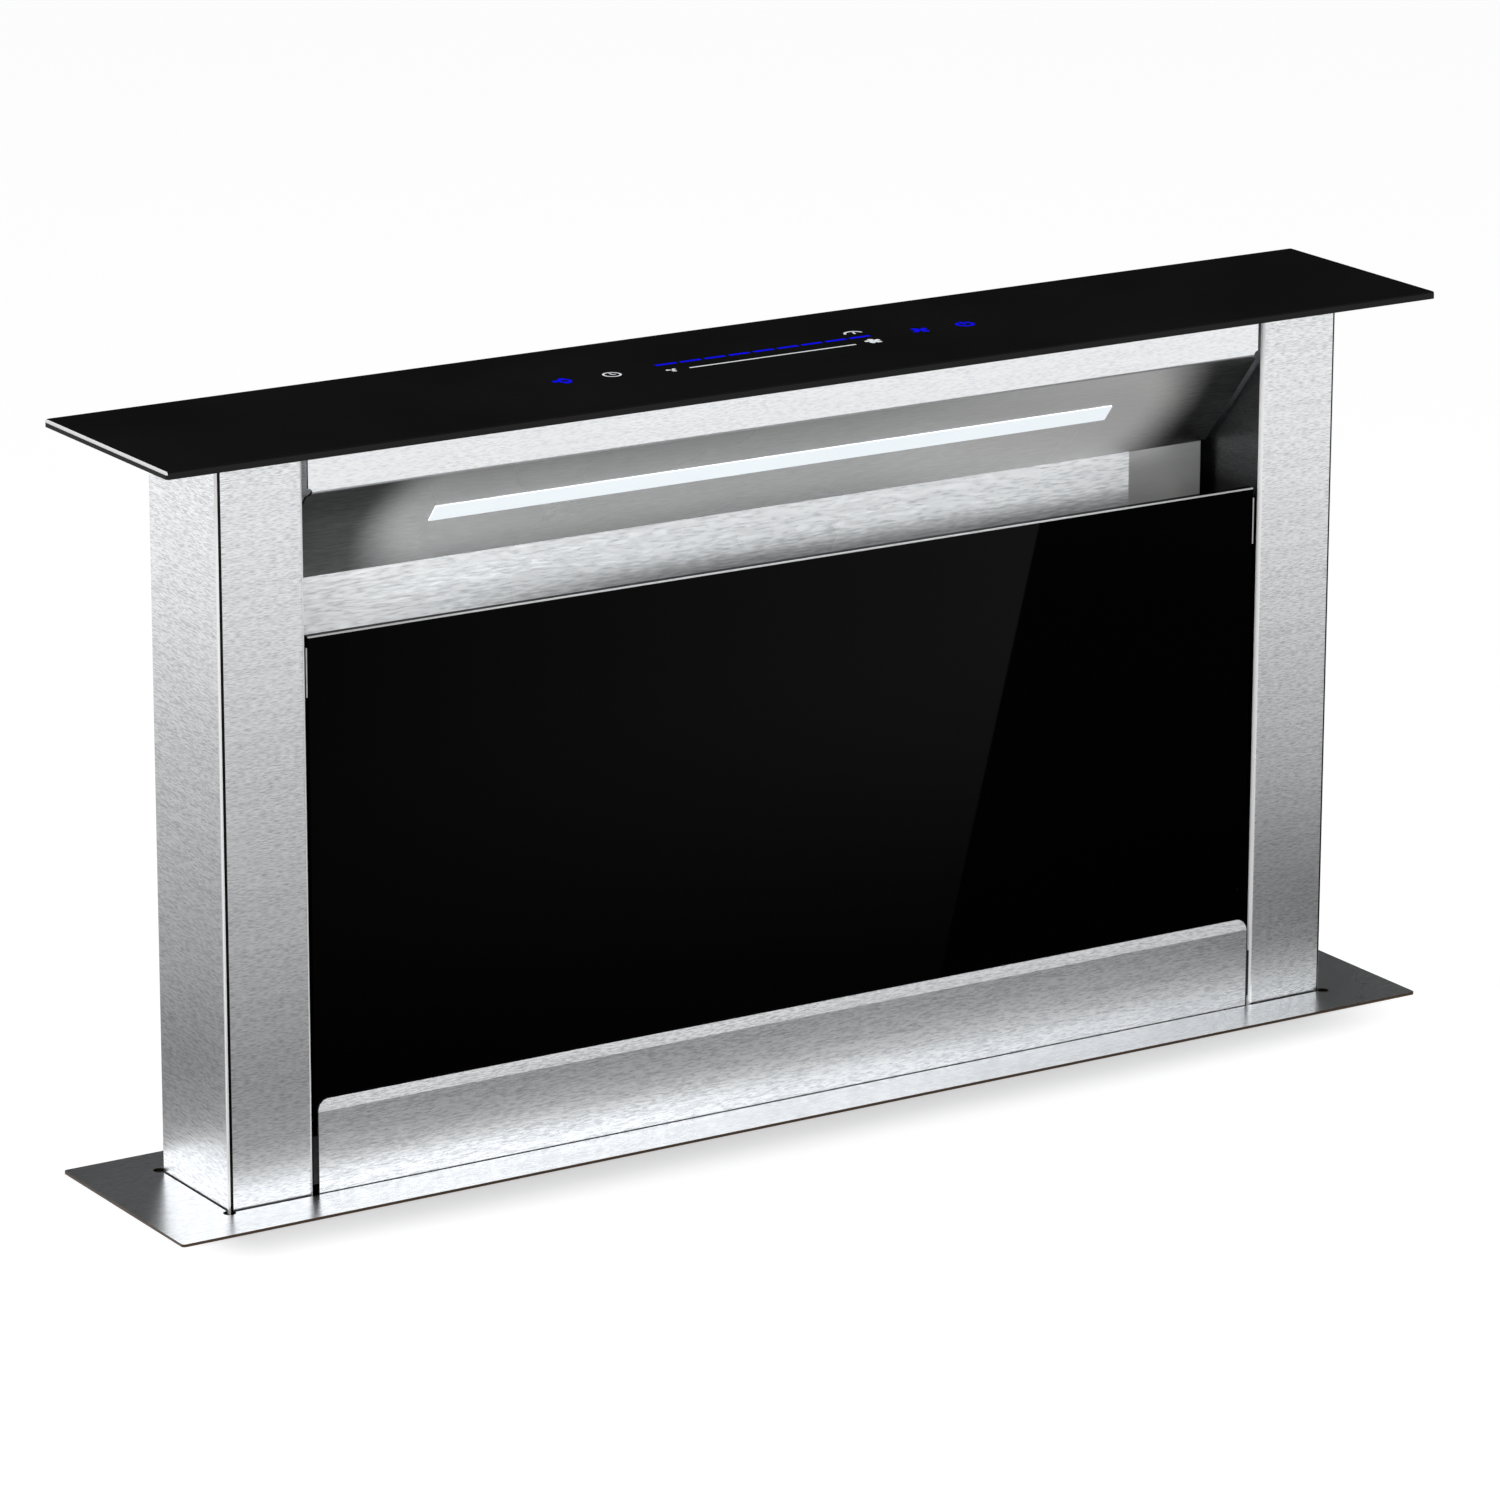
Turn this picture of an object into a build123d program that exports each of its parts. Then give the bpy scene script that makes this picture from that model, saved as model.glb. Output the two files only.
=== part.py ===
from build123d import *
import os
from math import cos, degrees, hypot, pi, radians, sin

# Downdraft vent: a tower that rises out of a worktop slot, its casing, its lift and its blower.
# Frame: X along the width, +Y to the rear, +Z up.
# Origin: centre of the tower in plan, on the worktop surface under the flange.
# All sizes are in millimetres, with the tower raised and its glass door closed.

os.makedirs("parts", exist_ok=True)

# ---- Driving dimensions ---------------------------------------------------------------------

# Tower
tower_width = 533.0
tower_depth = 57.0
tower_rise = 306.0  # flange top to the underside of the cover glass
tower_hidden = 120.0  # what stays below the worktop when the tower is raised
parked_gap = 2.0  # cover glass above the flange when lowered
column_face = 38.0
column_wall = 1.2
column_bend = 0.6  # inside radius of the column's folds
duct_depth = 36.5  # tower front to the face of the back panel

# Worktop plates
side_overhang = 20.0
front_margin = 24.0
rear_margin = 21.0
plate_corner = 1.5
cover_glass_thickness = 3.0
glass_arris = 0.5
flange_thickness = 1.2
flange_clearance = 0.8
corner_relief = 2.6
wiper_clearance = 0.4
wiper_height = 6.0

# Casing
side_gap = 12.5  # each side of the tower, for rails and belts
face_gap = 8.5  # before and behind the tower
casing_sheet = 1.0
drive_room = 216.0  # below the lowered tower

# Carrier and touch unit under the cover glass
carrier_thickness = 1.5
carrier_inset = 1.0
touch_width = 250.0
touch_depth = 34.0
touch_height = 13.0
touch_y = -1.0
touch_edge = 1.2
touch_window_gap = 0.5
plug_width = 24.0
plug_depth = 12.0
plug_height = 5.0
plug_end = 10.0  # from the end of the tray
plug_shift = 6.0  # behind the tray's middle

# Hood sheet: front rail and sloping lamp panel
hood_sheet = 1.0
hood_bend = 1.2
rail_height = 18.5
rail_recess = 0.4
rail_end_gap = 2.3
slope_drop = 44.0
rail_return = 8.0
fold_notch = 1.8
notch_reach = 5.0

# Lamp
lamp_length = 324.0
lamp_width = 9.0
lamp_share = 0.46  # place of the lamp's middle down the slope
lamp_proud = 0.3
lamp_flange = 4.0
lamp_flange_thickness = 2.0
heat_sink_base = 2.0
heat_sink_fin = 6.0
heat_sink_fins = 5
heat_sink_fin_sheet = 1.2
lamp_clearance = 0.1

# Panels inside the tower
panel_sheet = 1.0
panel_gap = 0.2  # below the hood sheet
back_panel_gap = 4.0  # to each column's inner wall
back_panel_return = 15.0
crossbar_height = 20.0
crossbar_depth = 16.0
crossbar_wall = 1.5
crossbar_lift = 4.0
crossbar_clearance = 0.3

# Fascia
fascia_sheet = 1.0
fascia_proud = 0.6
fascia_top = 39.0  # above the flange
fascia_lip = 5.0
lip_setback = 0.75
fascia_end_gap = 2.1
fascia_corner = 5.0
fascia_foot_gap = 2.0

# Glass door
door_glass_thickness = 4.0
mouth_height = 77.7  # from the door's top edge to the cover glass
door_glass_recess = 1.5
door_glass_gap = 2.0
door_glass_arris = 0.4
door_lap = 6.0  # glass behind the fascia's lip
hinge_rise = 3.0  # pivot above the fascia's lip
hinge_setback = 2.5  # pivot behind the glass
hinge_pin_radius = 2.0
running_clearance = 0.05
knuckle_radius = 3.6
knuckle_length = 14.0
knuckle_gap = 7.0  # from the hinge bracket
knuckle_web = 2.0
pin_run_out = 2.0
bracket_thickness = 1.5
bracket_height = 30.0
bracket_lift = 6.0
bracket_edge = 1.4
bracket_gap = 0.4
frame_border = 20.0
frame_thickness = 1.2
frame_inset = 4.5
frame_lift = 1.0  # above the pivot
frame_drop = 3.5  # below the glass's top
frame_corner = 3.0
catch_height = 20.0
catch_sheet = 0.6
catch_foot = 14.0
catch_recess = 0.8
catch_clearance = 0.3
catch_drop = 1.0
stop_width = 6.0
stop_depth = 11.0
stop_clearance = 0.3
stop_drop = 8.0
stop_gap = 1.5

# Grease filters
filter_thickness = 8.0
filter_drop = 24.3  # below the door's top edge
filter_front_room = 3.0  # behind the door frame's knuckles
filter_lift = 4.0  # above the door's pivot
filter_border = 9.0
filter_end_gap = 1.5
filter_pleats = 18
pleat_sheet = 0.8
pleat_depth = 5.0
rail_sheet = 1.2
rail_seat_clearance = 0.3
upper_lip = 8.0
trough_front = 6.0
trough_rear = 12.0

# Guides
rail_thickness = 1.5
rail_inside = 14.0
rail_lip_gap = 2.0
rail_end_gap_z = 1.5  # from the pulley flanges
shoe_height = 28.0
shoe_pitch = 42.0
shoe_clearance = 0.3
shoe_foot_gap = 2.0
shoe_lead = 1.0

# Belts and pulleys
belt_pitch = 5.0
pulley_teeth = 16
belt_width = 8.0
belt_thickness = 2.0
belt_clearance = 0.3
idler_drop = 24.0  # idler axis below the worktop
pulley_flange = 2.0
pulley_flange_thickness = 0.8
tooth_slot_width = 2.4
tooth_slot_depth = 0.9
idler_pin_radius = 3.0
idler_pin_gap = 0.8
shaft_radius = 5.0
shaft_height = 38.0  # above the casing floor
shaft_end_gap = 0.6
clamp_wall = 2.6
clamp_height = 36.0
clamp_lift = 6.0
clamp_side_gap = 0.8
bearing_width = 12.0
bearing_depth = 28.0
bearing_gap = 1.0
bearing_foot_depth = 52.0
bearing_foot_height = 6.0
gearbox_width = 40.0
gearbox_depth = 48.0
gearbox_height = 54.0
gearbox_x = 170.0
motor_radius = 20.0
motor_length = 84.0
motor_plate = 8.0
gearbox_corner = 4.0
motor_boss_radius = 8.0
motor_boss_height = 6.0
motor_plate_ear = 14.0

# Blower
fan_x = -50.0
impeller_radius = 85.0
impeller_width = 80.0
blade_count = 32
blade_ring = 17.0  # radial depth of the blades
blade_sheet = 1.0
blade_bow = 13.0
blade_bite = 0.2  # blade root outside the shroud ring's bore
blade_tip_room = 1.0
blade_flats = 3
blade_curl = 2.5  # how far out the lean sets in
impeller_sheet = 1.2
hub_radius = 15.0
hub_length = 22.0
fan_shaft_radius = 4.0
scroll_start = 100.0
scroll_step = 18.0
scroll_sheet = 1.2
scroll_margin = 8.0
tongue_radius = 7.0
outlet_run = 72.0
box_sheet = 1.0
box_lift = 6.0  # above the casing floor
cover_sheet = 1.2
dish_margin = 14.0
dish_height = 3.0
dish_taper = 30.0
inlet_radius = 64.0
inlet_flange = 18.0
ring_sheet = 1.5
ring_lap = 4.0
bell_gap = 3.0
bell_knee = 5.0  # where the bell's mouth turns into its throat
bell_flare = 0.8
inlet_bell = 16.0
inlet_gap = 2.5
fan_motor_radius = 44.0
fan_motor_length = 52.0
fan_motor_boss = 12.0
fan_motor_corner = 5.0
fan_boss_gap = 3.0
fan_boss_length = 11.5
fan_shaft_inset = 12.0
fan_bore_room = 0.5

# Duct spigot and its flaps
spigot_radius = 74.0
spigot_wall = 1.0
spigot_length = 85.0
spigot_plate_margin = 1.0
spigot_plate_thickness = 1.5
flap_pin_radius = 2.0
flap_sleeve = 1.6
flap_thickness = 0.8
flap_edge_gap = 0.8
flap_pin_offset = 8.0
flap_sleeve_length = 18.0
flap_sleeve_gap = 4.0
flap_root_gap = 0.4
flap_pin_room = 0.1

# Control box and mains gland
control_width = 190.0
control_height = 120.0
control_depth = 48.0
control_rise = 26.0  # above the blower box
control_sheet = 1.2
lid_thickness = 1.2
gland_bore = 4.5
gland_radius = 10.0
gland_hex = 24.0
gland_hex_length = 5.0
gland_nut_length = 13.0
gland_thread_length = 8.0
gland_shoulder = 2.0
gland_dome = 4.0
gland_rise = 30.0

# Base
base_rail_width = 30.0
base_rail_height = 24.0
base_rail_sheet = 1.5
base_rail_front = 200.0
base_rail_rear = 46.0
base_rail_inset = 30.0
foot_radius = 13.0
foot_height = 5.0
foot_front = 180.0
foot_rear = 28.0
fixing_hole_radius = 2.75
fixing_front = 150.0
fixing_rear = 0.0

# Casing screws
screw_head_radius = 4.0
screw_head = 2.0
screw_rows = 5
screw_edge = 30.0
screw_inset = 24.0

# Cutters run this far past what they cut
overrun = 2.0

# ---- Planes and places worked out from them -------------------------------------------------

front_y = -tower_depth / 2
rear_y = tower_depth / 2
side_x = tower_width / 2
inner_x = side_x - column_face
duct_y = front_y + duct_depth
cover_z = flange_thickness + tower_rise
carrier_z = cover_z - carrier_thickness
tower_foot = -tower_hidden
lift_travel = tower_rise - parked_gap

casing_x = side_x + side_gap
casing_y = rear_y + face_gap
casing_out_x = casing_x + casing_sheet
casing_out_y = casing_y + casing_sheet
casing_height = tower_hidden + lift_travel + drive_room
floor_z = -casing_height
plate_x = casing_out_x + side_overhang
plate_front = front_y - front_margin
plate_rear = rear_y + rear_margin
plate_y = (plate_front + plate_rear) / 2

fascia_y = front_y - fascia_proud
fascia_lip_z = flange_thickness + fascia_top
fascia_back = fascia_y + fascia_sheet

glass_front = front_y + door_glass_recess
glass_back = glass_front + door_glass_thickness
glass_bottom = fascia_lip_z - door_lap
glass_top = cover_z - mouth_height
glass_x = inner_x - door_glass_gap
hinge_y = glass_back + hinge_setback
hinge_z = fascia_lip_z + hinge_rise
frame_back = glass_back + frame_thickness
knuckle_bore = hinge_pin_radius + running_clearance

filter_front = hinge_y + knuckle_radius + filter_front_room
filter_back = filter_front + filter_thickness
filter_bottom = hinge_z + filter_lift
filter_top = glass_top - filter_drop
filter_height = filter_top - filter_bottom

pulley_radius = pulley_teeth * belt_pitch / (2 * pi)
belt_inner = pulley_radius - belt_thickness / 2
belt_outer = pulley_radius + belt_thickness / 2
shaft_z = floor_z + shaft_height
idler_z = -idler_drop
belt_x = side_x + (side_gap - belt_width) / 2
rail_top = idler_z - belt_outer - pulley_flange - rail_end_gap_z
rail_bottom = shaft_z + belt_outer + pulley_flange + rail_end_gap_z
rail_back_x = casing_x - rail_thickness

impeller_depth = inlet_bell + inlet_gap + impeller_width
box_depth = box_sheet + impeller_depth + fan_boss_gap + fan_boss_length + fan_motor_length
box_front = -casing_out_y - box_depth
fan_z = floor_z + box_lift + box_sheet + scroll_margin + scroll_sheet + scroll_start + scroll_step / 2
box_left = fan_x - scroll_start - 1.5 * scroll_step - scroll_sheet - scroll_margin - box_sheet
box_right = fan_x + impeller_radius + outlet_run + box_sheet
box_bottom = fan_z - scroll_start - scroll_step / 2 - scroll_sheet - scroll_margin - box_sheet
box_top = fan_z + scroll_start + 2.5 * scroll_step + scroll_sheet + scroll_margin + box_sheet
impeller_back = -casing_out_y - box_sheet - impeller_depth
outlet_low = fan_z - scroll_step / 2
outlet_high = fan_z + scroll_start + 2.5 * scroll_step
spigot_z = (outlet_low + outlet_high) / 2
spigot_y = -casing_out_y - box_depth / 2
flap_x = box_right + flap_pin_offset
foot_z = floor_z - casing_sheet - base_rail_height
sides = {"left": -1, "right": 1}


def slab(low, high, mode=Mode.ADD):
    """A rectangular block between two opposite corners."""
    middle = (Vector(*low) + Vector(*high)) * 0.5
    size = Vector(*high) - Vector(*low)
    with Locations(middle):
        Box(size.X, size.Y, size.Z, mode=mode)


def rod(radius, start, end, mode=Mode.ADD):
    """A round bar from one point to another."""
    run = Vector(*end) - Vector(*start)
    with BuildSketch(Plane(origin=start, z_dir=run)) as section:
        Circle(radius)
    extrude(section.sketch, amount=run.length, mode=mode)


def folded_sheet(plane, points, thickness, length, bend, side):
    """Sheet metal folded along a line of points, then run out square to the plane."""
    with BuildSketch(plane) as section:
        with BuildLine():
            FilletPolyline(*points, radius=bend)
            offset(amount=thickness, side=side)
        make_face()
    extrude(section.sketch, amount=length)


# ---- Cover glass, its carrier and the touch unit --------------------------------------------

with BuildPart() as top_glass:
    with BuildSketch(Plane.XY.offset(cover_z)):
        with Locations((0, plate_y)):
            RectangleRounded(2 * plate_x, plate_rear - plate_front, plate_corner)
    extrude(amount=cover_glass_thickness)
    chamfer(top_glass.faces().sort_by(Axis.Z)[-1].edges(), glass_arris)
top_glass.part.label = "top_glass"
export_step(top_glass.part, "parts/top_glass.step")

# A flat plate closes the tower's top and carries the glass, with a window for the touch unit.
with BuildPart() as glass_carrier:
    with BuildSketch(Plane.XY.offset(carrier_z)):
        Rectangle(tower_width - 2 * carrier_inset, tower_depth - 2 * carrier_inset)
        with Locations((0, touch_y)):
            Rectangle(
                touch_width + 2 * touch_window_gap, touch_depth + 2 * touch_window_gap, mode=Mode.SUBTRACT
            )
    extrude(amount=carrier_thickness)
glass_carrier.part.label = "glass_carrier"
export_step(glass_carrier.part, "parts/glass_carrier.step")

# The sensor board's tray is bonded to the glass from below, with its plug block at one end.
with BuildPart() as touch_unit:
    with BuildSketch(Plane.XY.offset(cover_z)):
        with Locations((0, touch_y)):
            Rectangle(touch_width, touch_depth)
    extrude(amount=-touch_height)
    chamfer(touch_unit.faces().sort_by(Axis.Z)[0].edges(), touch_edge)
    with BuildSketch(Plane.XY.offset(cover_z - touch_height)):
        with Locations((touch_width / 2 - plug_end - plug_width / 2, touch_y + plug_shift)):
            Rectangle(plug_width, plug_depth)
    extrude(amount=-plug_height)
touch_unit.part.label = "touch_unit"
export_step(touch_unit.part, "parts/touch_unit.step")

# ---- Columns --------------------------------------------------------------------------------

for side_name, side in sides.items():
    with BuildPart() as column:
        with BuildSketch(Plane.XY.offset(tower_foot)):
            with Locations((side * (side_x - column_face / 2), 0)):
                RectangleRounded(column_face, tower_depth, column_wall + column_bend)
                RectangleRounded(
                    column_face - 2 * column_wall,
                    tower_depth - 2 * column_wall,
                    column_bend,
                    mode=Mode.SUBTRACT,
                )
        extrude(amount=carrier_z - tower_foot)
    column.part.label = side_name + "_column"
    export_step(column.part, f"parts/{side_name}_column.step")

# ---- Hood sheet: front rail folded into the sloping lamp panel ------------------------------

hood_y = front_y + rail_recess
fold_z = carrier_z - rail_height
slope_end_z = fold_z - slope_drop
slope_run = duct_y - hood_y
slope_length = hypot(slope_run, slope_drop)
hood_length = 2 * (inner_x - rail_end_gap)

# Axes of the lamp panel: out of its visible face, and the middle of the lamp on it.
panel_out = Vector(0, -slope_drop, -slope_run) / slope_length
lamp_origin = Vector(0, hood_y + lamp_share * slope_run, fold_z - lamp_share * slope_drop)
lamp_plane = Plane(origin=lamp_origin, x_dir=(1, 0, 0), z_dir=panel_out)

with BuildPart() as intake_hood:
    hood_points = [
        (hood_y + rail_return, carrier_z),
        (hood_y, carrier_z),
        (hood_y, fold_z),
        (duct_y, slope_end_z),
    ]
    hood_end = Plane.YZ.offset(-hood_length / 2)
    folded_sheet(hood_end, hood_points, hood_sheet, hood_length, hood_bend, Side.LEFT)
    # Relief notches where the fold meets each end.
    for end in (-1, 1):
        rod(
            fold_notch,
            (end * hood_length / 2, hood_y - notch_reach, fold_z),
            (end * hood_length / 2, hood_y + notch_reach, fold_z),
            mode=Mode.SUBTRACT,
        )
    with BuildSketch(lamp_plane):
        Rectangle(lamp_length, lamp_width)
    extrude(amount=2 * hood_sheet, both=True, mode=Mode.SUBTRACT)
intake_hood.part.label = "intake_hood"
export_step(intake_hood.part, "parts/intake_hood.step")

# The frosted lens fills the slot from behind and stands a little proud of the sheet.
with BuildPart() as led_diffuser:
    with BuildSketch(lamp_plane.offset(-hood_sheet)):
        Rectangle(lamp_length + 2 * lamp_flange, lamp_width + 2 * lamp_flange)
    extrude(amount=-lamp_flange_thickness)
    with BuildSketch(lamp_plane.offset(-hood_sheet)):
        Rectangle(lamp_length - 2 * lamp_clearance, lamp_width - 2 * lamp_clearance)
    extrude(amount=hood_sheet + lamp_proud)
led_diffuser.part.label = "led_diffuser"
export_step(led_diffuser.part, "parts/led_diffuser.step")

# Finned heat sink with the light strip's board on its face.
heat_sink_width = lamp_width + 2 * lamp_flange
heat_sink_back = hood_sheet + lamp_flange_thickness
with BuildPart() as led_module:
    with BuildSketch(lamp_plane.offset(-heat_sink_back)):
        Rectangle(lamp_length + 2 * lamp_flange, heat_sink_width)
    extrude(amount=-heat_sink_base)
    with BuildSketch(lamp_plane.offset(-heat_sink_back - heat_sink_base)):
        fin_pitch = (heat_sink_width - heat_sink_fin_sheet) / (heat_sink_fins - 1)
        with GridLocations(0, fin_pitch, 1, heat_sink_fins):
            Rectangle(lamp_length + 2 * lamp_flange, heat_sink_fin_sheet)
    extrude(amount=-heat_sink_fin)
led_module.part.label = "led_module"
export_step(led_module.part, "parts/led_module.step")

# ---- Sheets that close the air channel ------------------------------------------------------

back_x = inner_x - back_panel_gap
back_height = slope_end_z - panel_gap - tower_foot
with BuildPart() as back_panel:
    back_points = [
        (-inner_x, duct_y + back_panel_return),
        (-back_x, duct_y + back_panel_return),
        (-back_x, duct_y),
        (back_x, duct_y),
        (back_x, duct_y + back_panel_return),
        (inner_x, duct_y + back_panel_return),
    ]
    folded_sheet(Plane.XY.offset(tower_foot), back_points, panel_sheet, back_height, hood_bend, Side.LEFT)
back_panel.part.label = "back_panel"
export_step(back_panel.part, "parts/back_panel.step")

with BuildPart() as rear_panel:
    slab((-inner_x, rear_y - panel_sheet, tower_foot), (inner_x, rear_y, carrier_z))
rear_panel.part.label = "rear_panel"
export_step(rear_panel.part, "parts/rear_panel.step")

# ---- Crossbars that tie the columns together ------------------------------------------------


def channel_bar(face_y, foot_z, depth, half_length):
    """A U channel across the tower, its web facing out at face_y and open towards the inside."""
    inward = 1 if depth > 0 else -1
    with BuildSketch(Plane.YZ.offset(-half_length)) as section:
        with Locations((face_y + depth / 2, foot_z + crossbar_height / 2)):
            Rectangle(abs(depth), crossbar_height)
        with Locations((face_y + depth / 2 + inward * crossbar_wall, foot_z + crossbar_height / 2)):
            Rectangle(abs(depth), crossbar_height - 2 * crossbar_wall, mode=Mode.SUBTRACT)
    extrude(section.sketch, amount=2 * half_length)


fascia_bar_z = flange_thickness + crossbar_lift
with BuildPart() as lower_crossbar:
    channel_bar(fascia_back, fascia_bar_z, crossbar_depth, inner_x)
lower_crossbar.part.label = "lower_crossbar"
export_step(lower_crossbar.part, "parts/lower_crossbar.step")

foot_bar_z = tower_foot + crossbar_lift
with BuildPart() as base_crossbars:
    channel_bar(fascia_back, foot_bar_z, crossbar_depth, inner_x)
    rear_bar_depth = rear_y - duct_y - 2 * panel_sheet
    rear_bar_half = back_x - panel_sheet - crossbar_clearance
    channel_bar(rear_y - panel_sheet, foot_bar_z, -rear_bar_depth, rear_bar_half)
base_crossbars.part.label = "base_crossbars"
export_step(base_crossbars.part, "parts/base_crossbars.step")

# ---- Lower fascia ---------------------------------------------------------------------------

fascia_x = inner_x - fascia_end_gap
fascia_foot = tower_foot + fascia_foot_gap
with BuildPart() as lower_fascia:
    fascia_points = [
        (fascia_y, fascia_foot),
        (fascia_y, fascia_lip_z - fascia_lip),
        (fascia_y + lip_setback, fascia_lip_z),
    ]
    folded_sheet(Plane.YZ.offset(-fascia_x), fascia_points, fascia_sheet, 2 * fascia_x, hood_bend, Side.RIGHT)
    # Rounded upper corners.
    fascia_reach = 2 * (fascia_sheet + lip_setback)
    with BuildSketch(Plane.XZ.offset(-fascia_y - fascia_reach)):
        with Locations((0, (fascia_foot + fascia_lip_z) / 2)):
            RectangleRounded(2 * fascia_x, fascia_lip_z - fascia_foot, fascia_corner)
    extrude(amount=2 * fascia_reach, mode=Mode.INTERSECT)
lower_fascia.part.label = "lower_fascia"
export_step(lower_fascia.part, "parts/lower_fascia.step")

# ---- Glass door -----------------------------------------------------------------------------

with BuildPart() as front_glass:
    slab((-glass_x, glass_front, glass_bottom), (glass_x, glass_back, glass_top))
    chamfer(front_glass.faces().sort_by(Axis.Y)[0].edges(), door_glass_arris)
front_glass.part.label = "front_glass"
export_step(front_glass.part, "parts/front_glass.step")

frame_x = glass_x - frame_inset
frame_bottom = hinge_z + frame_lift
frame_top = glass_top - frame_drop
frame_height = frame_top - frame_bottom
knuckle_out_x = inner_x - bracket_thickness - knuckle_gap
pin_end_x = knuckle_out_x - knuckle_length - pin_run_out
with BuildPart() as door_frame:
    with BuildSketch(Plane.XZ.offset(-frame_back)):
        with Locations((0, (frame_bottom + frame_top) / 2)):
            RectangleRounded(2 * frame_x, frame_height, frame_corner)
            Rectangle(2 * (frame_x - frame_border), frame_height - 2 * frame_border, mode=Mode.SUBTRACT)
            Rectangle(frame_border, frame_height - frame_border)
    extrude(amount=frame_thickness)
    # Hinge knuckles, each on a short web from the frame's lower edge.
    for side in (-1, 1):
        outer = side * knuckle_out_x
        inner = side * (knuckle_out_x - knuckle_length)
        low_x, high_x = min(outer, inner), max(outer, inner)
        slab((low_x, glass_back, hinge_z), (high_x, frame_back, frame_bottom + knuckle_web))
        rod(knuckle_radius, (low_x, hinge_y, hinge_z), (high_x, hinge_y, hinge_z))
        # Flat on the side that faces the glass.
        slab(
            (low_x, glass_back - knuckle_radius, hinge_z - 2 * knuckle_radius),
            (high_x, glass_back, hinge_z + 2 * knuckle_radius),
            mode=Mode.SUBTRACT,
        )
        pin_start = (side * pin_end_x, hinge_y, hinge_z)
        rod(knuckle_bore, pin_start, (side * inner_x, hinge_y, hinge_z), mode=Mode.SUBTRACT)
door_frame.part.label = "door_frame"
export_step(door_frame.part, "parts/door_frame.step")

# Spring clips at the door's upper corners reach round the glass edge into the side gap.
clip_x = glass_x + catch_clearance + catch_sheet
clip_top = frame_top - catch_drop
with BuildPart() as door_catches:
    for side in (-1, 1):
        with BuildSketch(Plane.XY.offset(clip_top)) as clip:
            with BuildLine():
                Polyline(
                    (side * (frame_x - catch_foot), frame_back),
                    (side * (clip_x - catch_sheet), frame_back),
                    (side * (clip_x - catch_sheet), glass_front + catch_recess),
                    (side * clip_x, glass_front + catch_recess),
                    (side * clip_x, frame_back + catch_sheet),
                    (side * (frame_x - catch_foot), frame_back + catch_sheet),
                    close=True,
                )
            make_face()
        extrude(clip.sketch, amount=-catch_height)
door_catches.part.label = "door_catches"
export_step(door_catches.part, "parts/door_catches.step")

# Hinge brackets stand on the columns' inner walls, each with its pin.
bracket_front = hinge_y - hinge_pin_radius - bracket_edge
bracket_rear = filter_front - rail_seat_clearance - rail_sheet - bracket_gap
with BuildPart() as door_hinge_brackets:
    for side in (-1, 1):
        wall_x = side * inner_x
        with BuildSketch(Plane.YZ.offset(wall_x)) as cheek:
            with Locations(((bracket_front + bracket_rear) / 2, hinge_z + bracket_lift)):
                Rectangle(bracket_rear - bracket_front, bracket_height)
            with Locations((hinge_y, hinge_z)):
                Circle(knuckle_bore, mode=Mode.SUBTRACT)
        extrude(cheek.sketch, amount=-side * bracket_thickness)
door_hinge_brackets.part.label = "door_hinge_brackets"
export_step(door_hinge_brackets.part, "parts/door_hinge_brackets.step")

with BuildPart() as door_hinge_pins:
    for side in (-1, 1):
        rod(hinge_pin_radius, (side * inner_x, hinge_y, hinge_z), (side * pin_end_x, hinge_y, hinge_z))
door_hinge_pins.part.label = "door_hinge_pins"
export_step(door_hinge_pins.part, "parts/door_hinge_pins.step")

# Nylon stops that the closed door rests against.
stop_y = frame_back + catch_sheet + stop_clearance
stop_top = glass_top - stop_drop
stop_foot = filter_top + rail_seat_clearance + rail_sheet + stop_gap
with BuildPart() as door_stops:
    for side in (-1, 1):
        low_x, high_x = sorted((side * inner_x, side * (inner_x - stop_width)))
        slab((low_x, stop_y, stop_foot), (high_x, stop_y + stop_depth, stop_top))
door_stops.part.label = "door_stops"
export_step(door_stops.part, "parts/door_stops.step")

# ---- Grease filters and their rails ---------------------------------------------------------

filter_width = inner_x - 2 * filter_end_gap
filter_mid_z = (filter_bottom + filter_top) / 2
core_width = filter_width - 2 * filter_border
core_height = filter_height - 2 * filter_border
for side_name, side in sides.items():
    filter_x = side * inner_x / 2
    with BuildPart() as grease_filter:
        with BuildSketch(Plane.XZ.offset(-filter_back)):
            with Locations((filter_x, filter_mid_z)):
                Rectangle(filter_width, filter_height)
                Rectangle(core_width, core_height, mode=Mode.SUBTRACT)
        extrude(amount=filter_thickness)
        # Pleated mesh core, folded zigzag between the frame's sides.
        pleat_run = core_width / filter_pleats
        core_y = (filter_front + filter_back) / 2
        near_edge = []
        far_edge = []
        for fold in range(filter_pleats + 1):
            swing = pleat_depth / 2 if fold % 2 else -pleat_depth / 2
            fold_x = filter_x - core_width / 2 + fold * pleat_run
            near_edge.append((fold_x, core_y + swing - pleat_sheet / 2))
            far_edge.insert(0, (fold_x, core_y + swing + pleat_sheet / 2))
        with BuildSketch(Plane.XY.offset(filter_mid_z - core_height / 2)):
            with BuildLine():
                Polyline(*near_edge, *far_edge, close=True)
            make_face()
        extrude(amount=core_height)
    grease_filter.part.label = "filter_" + side_name
    export_step(grease_filter.part, f"parts/filter_{side_name}.step")

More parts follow.
